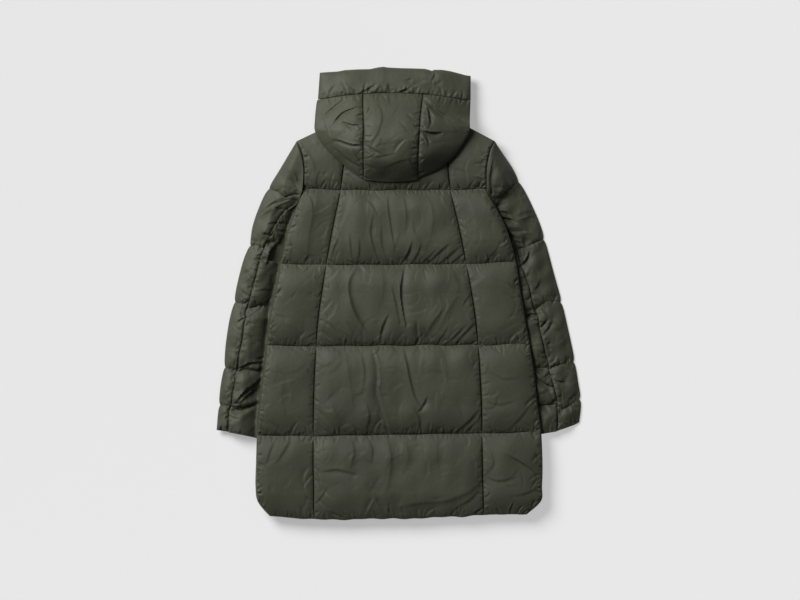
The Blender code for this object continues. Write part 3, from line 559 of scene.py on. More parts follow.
# folds of the back as the photograph shows them: pixels, depth, width, side of the trough
BACK_FOLDS = rows_of("""
387 195 388 211 390.5 228 394 250 2 4.6 1
426 196 431 208 432 224 428 243 1.8 9 1
411.5 242 407 254 400 264 4.4 4.6 1
421 243 417 254 411 263 2.4 3.6 1
450 243 440 251 428 262 3 4.2 1
460 246 450 254 440 263 2.6 3.6 1
463 253 456 259 450 264 2 3 1
436 249 428 257 421 263 2 3.2 1
349 234 350 246 352 261 1.8 4.2 1
358.5 238 359 250 357 262 1.7 4 1
373 214 370 232 373 247 378 261 1.9 4.8 1
381 226 381 243 386 260 1.5 4.6 1
352 196 349 211 341 228 1.6 6.5 -1
365 200 371 205 377 215 1.6 3.8 1
403 198 406 214 405 230 1.3 6 1
338 238 333 250 330 261 1.8 3.6 1
341 250 338 257 336 263 1.6 2.8 -1
452 196 455 212 451 230 1.4 9 1
318 193 314 210 309 232 307 256 2.2 10 1
309 196 312 203 313 214 1.4 3.4 1
287 232 291 246 289 259 1.4 6 1
470 198 474 212 478 228 1.4 8 -1
497 250 490 256 484 263 1.6 3.4 1
357 266 349.5 279 348.5 291 352.5 309 361 325 373 341 5.2 7 1
404 265 401.5 279 400 292 402 309 405.5 326 5.4 4.6 1
391 286 395 303 399 322 2.4 4.6 1
388 314 381.5 328 379 343 4 4.2 1
418 321 419.5 332 420 343 4.6 3.6 -1
443 308 433 321 425 335 3.2 7 1
425 326 430 335 432 343 2 3 -1
456 297 447 311 438 330 1.8 8 1
475 322 465 332 455 343 3 4 1
466 324 457 333 447 343 2.4 3.6 1
448 326 442 336 438 343 1.8 3 1
320 303 328 318 337 328 1.8 4.6 1
334 300 327 309 321 314 1.6 3.6 -1
320 330 327 338 333 343 2.4 3 1
322 322 330 328 341 340 2 3.4 1
345 322 352 332 360 343 2.2 4.4 1
362 330 365 337 367 344 1.8 2.8 -1
340 268 335 276 326 283 1.4 3.6 -1
452 270 457 286 454 300 1.6 11 1
381 268 383 284 381 302 1.3 8 1
374 349 378.5 365 379.5 380 379 391 382.5 405 387 420 390 432 4.4 5 -1
403 348 406.5 364 409.5 380 414 396 420.5 408 3.4 5.6 1
427 396 422.5 405 418 411 4 3.6 1
345 352 348 374 352 396 1.4 8 1
360 350 364 372 362 392 1.3 6 1
366 402 369 417 365 431 2 6 1
412 408 419 420 417 433 2.2 4.8 1
317 409 324 420 334 431 2.2 3.8 1
331 404 338 417 350 431 1.6 5.6 1
319 422 324 428 329 433 1.8 2.8 -1
479 408 469 420 455 432 2.6 5 1
478 419 470 427 462 433 2 3.2 1
441 352 446 374 441 400 1.4 11 1
424 350 421 366 423 380 1.2 7 -1
380 412 383 422 381 432 1.6 3.4 -1
387 440 390.5 458 389 476 387 488 2.2 7 1
321 471 337 469 355 473 2.6 5.4 -1
374 497 379 506 386 515 3.6 4.2 1
374 498 370 506 366 514 2.4 3.6 -1
392 508 420 502 445 500 470 490 481 479 3 8 -1
316 499 324 507 331 514 2.2 3.4 1
317 481 322 491 331 498 1.8 3.8 1
479 490 468 500 456 507 2 5 1
352 441 354 452 351 466 1.6 6 1
404 441 408 456 404 470 1.6 8 1
438 441 436 458 439 474 1.4 8 1
368 440 372 450 371 462 1.5 5 1
506 453 517 459 528 466 538 474 4.4 5.2 -1
486 476 498 480 512 478 1.8 4.6 -1
538 486 527 492 515 495 1.8 5 1
490 452 493 462 490 470 1.5 4 1
291 438 284 450 277 461 2 6 1
275 440 270 450 266 464 1.5 4.4 1
311 466 305 477 307 490 1.8 4 -1
508 319 515 317.5 521 316.5 1.2 3 1
508 341 515 336 524 329 1.6 3.4 1
508 347 517 342 527 334 1.6 3 -1
508 284 514 290 520 297 1 3 1
529 405 520 417 508 429 1.8 4.6 1
486 400 498 404 513 401 1.4 4 -1
491 371 504 378 518 377 1.2 5 -1
267 422 275 428 282 434 2 3.2 1
297 417 303 424 310 430 1.5 3.4 1
267 330 274 338 281 343 2 3.4 1
308 331 302 337 297 343 1.6 3 -1
284 380 281 398 285 414 1.2 8 1
478 165 485 170 488 181 2.4 3.4 1
474 177 481 178 488 184 2.6 3 -1
477 189 483 184 488 176 2 2.8 1
471 185 478 186 484 190 1.8 2.8 -1
300 177 303 184 304 190 1.8 3.2 1
320 170 316 178 317 188 1.4 5 1
305 150 312 162 314 176 1.4 7 1
""")


def line_wave(x, line):
    """Stitched lines are never ruled: they wander by half a millimetre."""
    return 0.55 * QUILT_WAVE(1.6 * x, np.broadcast_to(400.0 * line, np.shape(x)))


def quilt_line(line, left, right):
    """A stitched line of the body between two columns of its table, as points."""
    a, b = (catmull(BODY[:, column], np.array([float(BODY_LINES[line])]))[0] for column in (left, right))
    return a + (b - a) * np.linspace(0, 1, 60)[:, None]


def seam_line(column, start, stop=16.0, count=200):
    return catmull(BODY[:, column], np.linspace(start, stop, count))


def back_hem(x):
    """Lower edge of the back between its princess seams."""
    (ax, ay), (bx, by) = BODY[16, 1], BODY[16, 2]
    u = ramp(x, ax, bx - ax)
    return lerp(ay, by, u) - HEM_DIP * bow(u)


def back_panel(name, left, right):
    v, number, d_top, d_bottom = body_rows(0.8, 2.4)
    a = catmull(BODY[:, left], v) + (GAP / 2, 0)
    b = catmull(BODY[:, right], v) - (GAP / 2, 0)
    width = np.linalg.norm(b - a, axis=1)
    u = spaced(width.mean(), 0.8, 1.55) / width.mean()
    xy = grid(a, b, u)
    if left == 1:
        dip = NECK_DIP_BACK * np.maximum(0.0, 1.0 - v) + HEM_DIP * np.maximum(0.0, v - 15.0)
        xy[..., 1] -= dip[:, None] * bow(u)
    x, y = xy[..., 0], xy[..., 1]
    for d, line in ((d_top, number), (d_bottom, number + 1)):
        inside = ((line > 0) & (line < 5))[:, None]
        y = y + line_wave(x, line[:, None]) * inside * np.exp(-(d[:, None] / 22.0) ** 2)
    hem = np.where(number == 4, d_bottom, FAR)[:, None]
    y = y + 0.75 * HEM_WAVE(x, np.zeros_like(x)) * np.exp(-(hem / 14.0) ** 2)
    dl, dr = u * width[:, None], (1.0 - u) * width[:, None]
    yoke = number == 0
    fall = np.where(yoke, 28.0, 56.0)
    down = rise(d_top, np.where(yoke, 96.0, 54.0), np.where(yoke, 1.5, 2.3))
    down = (down * (0.55 * quarter(d_bottom, fall) + 0.45 * rise(d_bottom, fall, 1.8)))[:, None]
    side = np.ones_like(x)
    base = np.full_like(x, SEAM_LEVEL)
    groove = np.zeros_like(x)
    below_arm = ramp(v, 3.0, 2.0)[:, None]                  # 0 beside the armhole, 1 below it
    for d, outer_edge in ((dl, left == 0), (dr, right == 3)):
        if outer_edge:
            if left == 0:
                low = 0.62 * quarter(d, 5.0) + 0.38 * quarter(d, 46.0)
                low *= 1.0 - 0.28 * ramp(d, 24.0, 96.0)
            else:
                slope = 0.45 * quarter(d, 40.0) + 0.55 * rise(d, 125.0, 1.6)
                low = lerp(quarter(d, 18.0), slope, ramp(v, 5.5, 1.5)[:, None])
            side *= lerp(0.6 + 0.4 * quarter(d, 5.0), low, below_arm)
            base -= 2.0 * (1.0 - rise(d, 5.0))
        else:
            side *= 0.62 + 0.38 * rise(d, 62.0, 2.2)
            groove += 4.2 * np.exp(-(d / 1.05) ** 2) + 1.4 * np.exp(-(d / 5.0) ** 2)
    base -= 2.0 * (1.0 - rise(hem, 5.0))
    base -= 1.5 * (1.0 - rise(np.where(yoke, d_top, FAR), 5.0))[:, None]
    z = base + (BACK_PUFF[number][:, None] * side - groove) * down
    near = np.minimum(np.minimum(dl, dr), np.minimum(d_top, d_bottom)[:, None])
    relief = Relief(x, y)
    for row in BACK_FOLDS:
        if row[-2] > 6.0:                                   # broad and soft
            relief.folds([row], 0.85, 1.4, crest=0.1, start=0.2, stop=0.5, sharp=1.2)
        else:
            relief.folds([row], 0.80, 0.84, crest=0.3, start=0.2, stop=0.5, sharp=0.25)
    z += relief.z * rise(near, 5.0)
    seeds = 100 * (left + 1)
    fine = Relief(x, y)
    for line in range(1, 6):
        points = quilt_line(line, left, right)
        fine.puckers(points, 1, seeds + line, (4, 15), (5, 20), (0.7, 2.2), (1.1, 2.0), 0.5, ends=0.7)
        if line < 5:
            fine.puckers(points, -1, seeds + 20 + line, (5, 18), (4, 14), (0.4, 1.2), (1.0, 1.8), 0.5)
    for column, turn in ((left, -1), (right, 1)):
        spacing, depth = ((4, 13), (0.9, 2.4)) if column in (0, 3) else ((9, 26), (0.6, 1.7))
        fine.puckers(seam_line(column, 0.4)[::-1], turn, seeds + 40 + column, spacing, (5, 15), depth,
                     (1.1, 1.9), 0.7)
    z += fine.z * rise(near, 3.0, 1.6)
    calm = 1.0 if left == 1 else 0.55
    z += calm * (0.42 * LUMPS(x, y) + 0.45 * LUMPS(1.35 * x + 40, 0.45 * y)) * rise(near, 14.0)
    z += small_folds(x, y, seeds + 60, 420, (0.15, 0.7), (1.6, 4.6), (14, 60)) * rise(near, 5.0)
    return wall(name, *layers(x, y, np.maximum(z, BACK_FLOOR + 0.6), BACK_FLOOR))


def edge_height(side, x, y):
    """Underside of the front at the side edge and its slope, carried on outside the edge."""
    edge = body_edge(side, body_rows(6.0, 12.0)[0])
    inside = (np.interp(-y, -edge[:, 1], edge[:, 0]) - x) * side
    return np.where((y > edge[0, 1]) | (y < edge[-1, 1]), 1e3,
                    (SEAM_CEILING - 3.0) * (1.0 - inside / SIDE_RISE))


def front_point(side, v, share=None, from_zip=0.0):
    """Points across one front: a share of the way from its princess seam to the zip, or a
    distance from the zip."""
    middle = body_seam(side, v)
    y = np.where(v < 2, np.interp(v, (0, 1, 2), FRONT_NECK_Y),
                 lerp(FRONT_NECK_Y[2], middle[:, 1], ramp(v, 2.0, 1.0)))
    y = y - HEM_DIP * np.maximum(0.0, v - 15.0)
    centre = np.stack((np.full(len(v), side * FRONT_EDGE), y), -1)
    if share is None:
        share = 1.0 - from_zip / np.linalg.norm(centre - middle, axis=1)
    share = np.broadcast_to(share, v.shape)
    point = middle + (centre - middle) * share[:, None]
    point[:, 1] -= np.interp(v, (0, 1, 2, 3), FRONT_NECK_DIP) * bow(share)
    return point


def front_columns(side, v):
    """All columns of one front, from the side edge to the zip, as an array of points."""
    step = 3.4 * FINE
    edge, middle = body_edge(side, v), body_seam(side, v)
    out = [edge]
    count = int(round((np.linalg.norm(edge - middle, axis=1).mean() - 4) / step))
    for k in range(1, count):
        t = k / count - 0.2 * math.sin(2 * math.pi * k / count) / math.pi
        out.append(edge + (middle - edge) * max(0.004, t))
    zip_part = [front_point(side, v, from_zip=d) for d in (26, 23, 20, 17, 14, 11.5, 9, 7, 5, 3.4, 2, 1, 0)]
    count = int(round(np.linalg.norm(zip_part[0] - middle, axis=1).mean() / step))
    end = 1.0 - 26.0 / np.linalg.norm(zip_part[-1] - middle, axis=1)
    out += [front_point(side, v, k / count * end) for k in range(count)]
    return np.stack(out + zip_part, 1)


def front_line(side, line):
    return front_columns(side, np.array([float(BODY_LINES[line])]))[0]


def front_panel(name, side):
    v, number, d_top, d_bottom = body_rows(1.3, 4.6)
    xy = front_columns(side, v)
    x, y = xy[..., 0], xy[..., 1]
    # the front's hem stays hidden behind the back's
    short = np.maximum(0.0, back_hem(x[-1]) + 1.6 - y[-1])
    y = y + short * (np.clip(1.0 - np.where(number == 4, d_bottom, FAR) / 70.0, 0, 1) ** 2)[:, None]
    edge = body_edge(side, v)
    from_edge = np.hypot(x - edge[:, :1], y - edge[:, 1:])
    from_zip = np.abs(x) - FRONT_EDGE
    d = np.minimum(d_top, d_bottom)[:, None]
    depth = quarter(d, 30.0) ** 0.9 * np.minimum(1.0, from_edge / SIDE_RISE) * quarter(from_zip, ZIP_ROUND)
    ceiling = np.where(from_edge < 0.01, SEAM_CEILING, FRONT_CEILING)
    seam = (FRONT_CEILING - 3.0) + (1.0 - rise(from_edge, 4.0)) * (SEAM_CEILING - FRONT_CEILING + 1.6)
    near = np.minimum(np.minimum(from_edge, from_zip), d)
    relief = Relief(x, y)
    seeds = 700 + 50 * side
    for line in range(1, 6):
        points = front_line(side, line)
        relief.puckers(points, -side, seeds + line, (9, 16), (8, 18), (0.8, 1.8))
        if line < 5:
            relief.puckers(points, side, seeds + 10 + line, (9, 17), (7, 15), (0.6, 1.4))
    z = seam * (1.0 - depth) + relief.z * rise(near, 4.0) * np.minimum(1.0, depth * 2)
    z += (0.8 * LUMPS(x + 500, y) + 0.3 * crinkle(x + 400, y)) * rise(near, 16.0) * (1.0 - 0.7 * depth)
    z = np.clip(above_zero(np.minimum(z, ceiling - 0.6), 0.6) - 0.02, 0.0, ceiling - 0.6)
    return wall(name, *layers(x, y, z, ceiling), (0, 1, -1))


# ------------------------------------------------------------------ sleeves
def armhole_curve(side, share):
    """Places on the body's side edge between the shoulder and the armpit."""
    v = body_rows(6.0, 12.0)[0]
    edge = body_edge(side, np.unique(np.append(v[v <= ARMPIT], float(ARMPIT))))
    _, run = lengths(edge)
    at = np.asarray(share) * run[-1]
    return np.stack((np.interp(at, run, edge[:, 0]) - side * GAP, np.interp(at, run, edge[:, 1])), -1)


def sleeve_xy(side, v, across):
    """Plan of the sleeve; across is 0 at the outer edge, 1 at the back seam and 2 inside."""
    outer, seam, inner = (catmull(SLEEVES[side][:, k:k + 2], np.maximum(v, 1.0)) for k in (0, 2, 4))
    path = px(SLEEVE_SEAM[side])
    seam[..., 0] = np.interp(-seam[..., 1], -path[:, 1], path[:, 0])
    t = across[..., None]
    point = np.where(t <= 1.0, lerp(outer, seam, t), lerp(seam, inner, t - 1.0))
    s = ARMHOLE_SEAM_SHARE
    start = armhole_curve(side, np.where(across <= 1.0, across * s, lerp(s, 1.0, across - 1.0)))
    blend = ramp(v, 0.0, 1.0)[..., None]
    return np.where(blend < 1.0, lerp(start, point, blend), point)


def sleeve_rows(side, edge, middle):
    """Rows of a sleeve.  The seam is short at the armhole, so the outer edge is measured too."""
    fine_v = np.linspace(0, 14, 2801)
    run = 0.5 * sum(lengths(sleeve_xy(side, fine_v, np.full(len(fine_v), k)))[1] for k in (1.0, 0.0))
    return rows_between(SLEEVE_LINES, fine_v, run, edge, middle)


@functools.lru_cache(None)
def sleeve_shifts(side, part):
    """How far each stitched line of a sleeve lies from its row, over the part's width."""
    v, across = np.meshgrid(np.linspace(0, 14.4, 1441), np.linspace(0, 1, 101) + part, indexing="ij")
    plan = sleeve_xy(side, v, across)
    shares = np.linspace(0, 1, 21) + part
    shifts = np.zeros((len(SLEEVE_LINES), len(shares)))
    for row in SLEEVE_STITCHES[side]:
        if row[1] == part:
            at = np.array([np.argmin(np.hypot(*(plan - p).transpose(2, 0, 1))) for p in px(row[2:])])
            at = at[np.argsort(across.flat[at])]
            line = int(row[0])
            shifts[line] = np.interp(shares, across.flat[at], v.flat[at]) - SLEEVE_LINES[line]
    shifts[1] = np.maximum(shifts[1], -1.86)
    return shares, shifts


def sleeve_line(side, part, line, at):
    """Where a stitched line of a sleeve lies on its plan."""
    shares, shifts = sleeve_shifts(side, part)
    return sleeve_xy(side, SLEEVE_LINES[line] + np.interp(at, shares, shifts[line]), at)


def warp_rows(side, part, v, number, across):
    """Rows of a sleeve moved so that its stitched lines lie where they were read off, and how
    much longer or shorter that makes each place of a row."""
    shares, shifts = sleeve_shifts(side, part)
    moved, stretch = np.zeros(across.shape), np.ones(across.shape)
    for k, (first, last) in enumerate(zip(SLEEVE_LINES, SLEEVE_LINES[1:])):
        rows = number == k
        low = np.interp(across[rows], shares, first + shifts[k])
        high = np.interp(across[rows], shares, last + shifts[k + 1])
        moved[rows] = lerp(low, high, ((v[rows] - first) / (last - first))[:, None])
        stretch[rows] = (high - low) / (last - first)
    return moved, stretch


# folds of the sleeves: pixels, depth, width, side of the trough
SLEEVE_FOLDS = {-1: rows_of("""
294.5 173 297 180 298.9 186 301.4 192.5 1.6 3 1
290 180 293.3 183.8 298.3 190 1.4 2.6 1
255.8 218 270.8 208.8 280.8 203.8 289 200 2.2 3 1
265.8 207.5 272 202.5 279.5 199.4 285 197.5 1.2 3 -1
274 207 281 207 288 208.6 1.4 2.4 -1
293 206.5 287 210.5 281 218 276 226 270.5 235 2.4 2.2 -1
267.6 223 274.5 221.9 279.5 222.3 1.6 2.6 -1
278.3 222.5 283 222 287 222.5 1.4 2.4 -1
262.6 232.5 267 233 270.8 234.4 2.6 3 -1
275.8 228.8 281 230 287 230 1.4 2.6 -1
264.5 242.5 266.5 241 268.9 239.4 1.8 2.4 -1
267 250 270 246 274 243 1.8 3 1
254 261.5 265 261 276 262.5 2.8 3.6 1
266.5 263 268 256 270 250.5 274.5 246 6 6 -1
243.9 278 248 274 252 271.9 1.4 3 1
253.3 291 264.5 288.8 272 290 1 3 -1
241.4 311 245 316 247 316 1.6 2.4 -1
235.8 322.5 240.8 318.8 244.5 317.5 1.4 2.6 -1
245.8 320 249.5 320.6 253.3 325 1.4 2.6 -1
250.8 332.5 254.5 337.5 260.8 341.9 1 3 -1
255.8 358.8 260 356.9 264.5 355.6 1.4 2.6 -1
238.9 367.5 244.5 365 249.5 362.5 262 361.9 2.6 3 -1
237.6 373.8 243.3 371.9 249.5 371.3 261.4 373.8 1.6 2.8 1
235 403 240.8 395 247 388.8 254.5 383.8 261.4 376.9 3.4 4 -1
239.5 402.5 247 395 253.3 390 260.8 385 3 3.6 -1
232 410 238.3 409.4 244.5 407.5 253.3 403.8 257.6 401.9 2.6 3.2 -1
230.8 415 235 417 239.5 417.5 1.4 2.6 -1
224.5 417.5 226.5 416.4 228.3 416 1.2 2.2 -1
230.8 376.9 232.5 377.5 234.5 378.8 1.2 2.2 -1
225.8 386.9 229 387.4 232 388.8 1.2 2.2 -1
233.3 402.5 236 402 238.9 401.9 1.4 2.2 -1
230.8 366.3 235 368.8 237 371.3 1.4 2.4 -1
"""), 1: rows_of("""
493 155 490 170 489 180 490 192 2.6 4.2 1
498 210.5 505 211 509 213 511 216 2 3 -1
499 216 505 217 511 218.5 517 222 3 3.4 -1
516 219 522 218 528 215.5 533 213 1.8 3.2 1
511 232 519 233 528 232 1.8 3 1
504 224 507 228 510 233 513 235 519 237 2.6 3.2 -1
514 241 520 241.5 525 244.5 1.8 2.6 -1
529 251 527 257 523.5 262 520 265.5 2.5 3.2 1
535.5 310.5 538 309 541 308.5 1.6 2.6 1
524 313 527 315 531 313.5 536 314.6 2.2 2.8 -1
540 327 543 323.5 546 319.5 1.8 2.6 -1
541 329 546 324 550 320 1.4 2.6 1
543 334 549 326 552 319 1.6 2.8 -1
546 345 548 343 550 341 1.2 2.4 -1
525 299 528 297 531 294.5 1.4 2.6 -1
533 290 537 286 540 280 1 3 -1
536 356 541 361 547 365.5 550 365 1.6 2.8 1
540 357 545 361 549 363 1.4 2.6 1
550 364 555 362 557.5 356 1.4 2.6 1
535 372 540 378 545 382.5 550 385 554 385.5 3.6 3.8 -1
545 370 549 372 554 377 1.6 2.4 -1
552 377 557 380 566 381.5 1.8 2.8 -1
566 402 572 396 576 391 1 3 -1
557 404 560 406 564 410 1.4 2.4 -1
558 416 561 419 565 423 1.4 2.4 -1
545 388 549 394 552 401 1.4 3.6 1
""")}
# deep places: pixel, depth, reach across and along
SLEEVE_PITS = {-1: table("276.5 254.5 16 9 12  281 253 20 7.5 13  284.5 243 5 5 8", 5),
               1: table("509 238 6 6 12  541 372 4 8 6  528 311 4 8 5", 5)}
# valleys beside the side edge of the body: rows of its table where they start and end, depth, width
SLEEVE_VALLEYS = {-1: table("4.1 6.3 6.5 3.6  5.2 6.4 6 6  6.4 8.2 9 5  8.1 10 9 4.6  9.9 12 9 5.2", 4), 1: ()}
# puff, reach of the fall towards the outer edge and its bend, drop of that edge
SLEEVE_SHAPE = {-1: (19.0, 66.0, 1.5, 9.0), 1: (20.0, 92.0, 1.25, 15.0)}


def row_depth(down, up, first):
    """0 at a stitched line, 1 in the middle of a row."""
    length = np.maximum(down + up, 1e-3)
    depth = np.where(first, 0.5 + 0.5 * quarter(down, 24.0), rise(down / length, 0.45, 2.2))
    depth = depth * quarter(up / length, 0.38)
    return (0.18 + 0.82 * depth) * (0.6 + 0.4 * rise(np.where(first, down, FAR), 3.5))


def sleeve_surface(side, part, rows, across, top_layer, seed):
    """The upper or lower layer of a flattened sleeve, and the height of the slit between them."""
    v, number, d_top, d_bottom = rows
    first, second = number == 0, number == 1
    row_length = d_top + d_bottom
    # the first stitched line ends at the back seam, so both rows beside it are one from there on
    shared = row_depth(d_top + row_length[first][0] * second, d_bottom + row_length[second][0] * first,
                       number <= 1)
    w, stretch = warp_rows(side, part, v, number, across)
    common = np.interp(w, v, shared)
    number, d_top, d_bottom = number[:, None], d_top[:, None] * stretch, d_bottom[:, None] * stretch
    own = shared[:, None] if part else row_depth(d_top, d_bottom, number == 0)
    xy = sleeve_xy(side, w, across)
    outer, seam, inner = (sleeve_xy(side, w, np.full_like(w, k)) for k in (0.0, 1.0, 2.0))
    to_outer, to_seam, to_inner = (np.hypot(*(xy - line).transpose(2, 0, 1))
                                   for line in (outer, seam, inner))
    share = np.maximum(0.0, across - 0.6) / 1.4
    slit = lerp(*(catmull(SLEEVES[side][:, k], w) for k in (6, 7)), share)
    # the stitched lines draw the folded edges in
    to_line = np.minimum(np.where(number == 0, FAR, d_top), np.where(number == 5, FAR, d_bottom))
    pinch = 3.6 * np.exp(-to_line / 6.0 - to_outer / 12.0)
    inwards = seam - outer
    x, y = (xy[..., k] + pinch * inwards[..., k] / np.linalg.norm(inwards, axis=-1) for k in (0, 1))
    near = np.minimum(d_top + FAR * part * (number == 1), d_bottom + FAR * part * (number == 0))
    depth = lerp(common, own, quarter(to_seam, 12.0))
    cuff = rise(np.where(number == 5, d_bottom, FAR), 7.0)
    puff, fall, bend, drop = SLEEVE_SHAPE[side]
    if side < 0:
        crown = lerp(0.12 + 0.88 * quarter(to_inner, 60.0), 0.08 + 0.92 * quarter(to_inner - 15.0, 40.0),
                     ramp(w, 2.0, 1.5))
        edge = 0.18 * quarter(to_outer, 7.0) + 0.82 * rise(to_outer, fall, bend)
        cap = quarter(to_outer, 40.0)
    else:
        crown = lerp(0.15 + 0.85 * quarter(to_inner, 30.0),
                     lerp(0.52, 0.86, share) - 0.06 * ramp(to_inner, 14.0, 34.0), ramp(w, 0.8, 1.4))
        edge = (0.12 * quarter(to_outer, 7.0) + 0.62 * rise(to_outer, 44.0, 1.25)
                + 0.26 * rise(to_outer, fall, bend))
        cap = 0.2 * quarter(to_outer, 8.0) + 0.8 * rise(to_outer, 64.0, 1.2)
        slit = lerp(slit, np.minimum(slit, 6.5), ramp(w, 0.8, 1.0))
        drop = lerp(drop, 4.3, ramp(w, 0.8, 1.0))
    edge = lerp(cap, edge * quarter(to_inner, 9.0), ramp(w, 0.0, 1.5))
    slit = slit - drop * (1.0 - rise(to_outer, 34.0, 1.5)) * np.minimum(1.0, (1.0 if side < 0 else 2.0) * w)
    slit = np.maximum(slit, 2.2)
    lift = ARMPIT_LIFT * np.maximum(0.0, 1.0 - w) + 10.0 * np.maximum(0.0, 1.0 - w / 1.7)
    limit = edge_height(side, x, y) - TUCK_CLEARANCE + lift
    if not top_layer:
        slit = np.minimum(slit, limit - 3.0 * edge)
        flat = depth * quarter(to_seam, 22.0)
        z = slit - (1.0 + 2.0 * cuff + np.maximum(0.0, slit - 3.0) * flat * cuff) * edge
        soft = rise(np.minimum(near, to_outer), 16.0)
        z = z + 0.8 * LUMPS(x * 1.4, y * 1.4 + 50) * soft * edge * (1 - flat)
        z = np.maximum(0.0, above_zero(z, 0.5) - 0.05)
        return layers(x, y, np.minimum(z, slit - 0.05))[0], slit
    near_seam = 0.92 + 0.08 * quarter(to_seam, 8.0)
    body = (0.8 + 2.2 * cuff + puff * depth * near_seam * crown * cuff) * edge
    groove = (3.2 * np.exp(-to_seam ** 2) + 1.0 * np.exp(-(to_seam / 3.2) ** 2)) * (0.5 + 0.5 * depth)
    z = slit + np.maximum(body - groove, 0.5 * edge)
    room = limit - 1.2
    z = room - above_zero(room - z, 4.0)                    # below the room, without a corner
    relief = Relief(x, y)
    relief.folds(SLEEVE_FOLDS[side], 1.95, 0.85, crest=0.4, start=0.35, stop=0.5, sharp=0.3)
    for start, stop, deep, wide in SLEEVE_VALLEYS[side]:
        relief.fold(seam_line(0 if side < 0 else 3, start, stop, 30), deep, wide, side, crest=0.0,
                    start=0.3, stop=0.5, power=0.3, sharp=0.4)
    for *pixel, deep, wide, tall in SLEEVE_PITS[side]:
        at_x, at_y = px(pixel)[0]
        pit = deep * np.exp(-(((x - at_x) / wide) ** 2 + ((y - at_y) / tall) ** 2) ** 1.8)
        relief.z -= pit
        slit = np.maximum(slit - 0.6 * pit, 1.2)
    for k in range(part, 6):
        points = sleeve_line(side, part, k + 1, np.linspace(0.02, 0.98, 40) + part)
        relief.puckers(points, -side, seed + k, (5, 15), (6, 22), (0.8, 2.4), (1.4, 2.6), 0.6)
        relief.puckers(points, side, seed + 10 + k, (5, 16), (5, 16), (0.6, 1.8), (1.4, 2.4), 0.6)
    points = sleeve_xy(side, np.linspace(0.2, 13.9, 160), np.ones(160))
    for turn in (1, -1):
        relief.puckers(points, turn, seed + 30 + turn, (8, 18), (5, 16), (0.6, 1.9), (1.4, 2.6), 0.6)
    beside = np.minimum(to_outer, to_inner)
    seam_mask = rise(to_seam, 1.4)
    mask = rise(np.minimum(near + 1.5, beside), 4.0) * np.minimum(1.0, 2 * w) * seam_mask
    z = z + relief.z * mask
    soft = rise(np.minimum(near, beside), 18.0) * seam_mask
    z = z + 1.0 * LUMPS(x * 1.6 + 77, y * 1.6) * soft * np.minimum(1.0, w)
    z = z + small_folds(x, y, seed + 80, 1000, (0.2, 1.0), (1.5, 4.2), tilt=1.6) * mask
    z = np.minimum(z, limit + 1.6)
    slit = np.minimum(slit, limit - 3.0 * edge)
    return layers(x, y, np.maximum(z, slit + 0.05))[0], slit


def sleeve_piece(name, side, fold, seed):
    """Half of a sleeve: from the back seam round one folded edge to the front seam."""
    rows = sleeve_rows(side, 1.0, 2.1)
    v, number = rows[:2]
    part = int(fold > 1.0)
    ends = [sleeve_xy(side, v, np.full_like(v, k)) for k in (1.0, fold)]
    width = np.linalg.norm(ends[0] - ends[1], axis=1)
    steps = spaced(width.mean(), 0.9, 1.8)[::-1] / width.mean()     # 1 at the seam, 0 at the fold
    shares = steps * (1.0 + 0.2 / width)[:, None]
    (top, _), (low, level) = (sleeve_surface(side, part, rows, lerp(fold, 1.0, shares), above, seed)
                              for above in (True, False))
    top[:, -1, 2] = 0.5 * (top[:, -1, 2] + low[:, -1, 2])   # both layers share the fold
    across = lerp(fold, 1.0, np.maximum(shares, np.minimum(0.45, 5.0 / width)[:, None]))
    xy = sleeve_xy(side, warp_rows(side, part, v, number, across)[0], across)
    level = np.minimum(level, top[..., 2] - 0.3)
    inner = layers(xy[..., 0], xy[..., 1], level + 0.1, level - 0.1)
    outer, inner = (np.concatenate((a, b[:, -2::-1]), 1) for a, b in ((top, low), inner))
    count = len(steps)
    return wall(name, outer, inner, (0, count - 2, count, -1))


# ------------------------------------------------------------------ hood
def slit_height(y):
    """Level where the fronts, the collar and the zip end and what lies on them begins."""
    return lerp(26.0, BRIM_SLIT, ramp(np.asarray(y, float), 355.0, 50.0))


def neckline(x):
    """Upper edge of the back."""
    a, b, c, d = BODY[0]
    return np.where(x < b[0], arc(x, a, b), np.where(x > c[0], arc(x, c, d), arc(x, b, c, -NECK_DIP_BACK)))


# folds of the hood and its brim: pixels, depth, width, side of the trough
HOOD_FOLDS = rows_of("""
350 97 344 99 338 103 332 108 326 113 321 118 2.2 3.4 1
361 106 352 109 344 112 339 116 335 121 331 127 2.6 3.4 1
339 123 346 123 352 125 361 125.5 2.2 3 -1
356 115 360 114.6 363 114.5 1.6 2.6 -1
333 140 339 140.5 346 143 353 145 363 145.5 3.4 3.4 -1
335 148 341 152 346 157 352 161 358 165 363 168 2.6 3.2 -1
351 150 357 158 362 165 1.6 2.8 1
324 122 326 130 331 138 1.2 5 1
378 106 381 112 381.5 120 380 128 0.8 4.4 1
380 127 377 135 372 142 370 150 0.7 4.4 1
368 147 374 149 381 154 1.4 3 -1
371 158 383 156 394 154 0.8 3.6 -1
384 168 398 162 411 159 0.7 4.4 -1
372 149 375 151 379 154 1.4 2.4 -1
408 114 413 118 419 121 1.6 2.4 -1
415 137 417 135 419 133 1.2 2.2 -1
410 149 414 148 418 147.5 1.4 2.2 -1
395 154 400 147 406 141 1.4 3 1
427 109 428 116 429 124 428 127 3.4 3.2 1
424 97 428 101 433 106 440 112 453 120 2.8 3.2 -1
437 117 441 120 445 124 1.4 3 1
421 131 427 132 435 133 441 132.5 4.2 3.4 -1
419 124 423 128 427 131 2.4 2.8 -1
423 136 426 141 428 146 2.4 2.8 1
""")
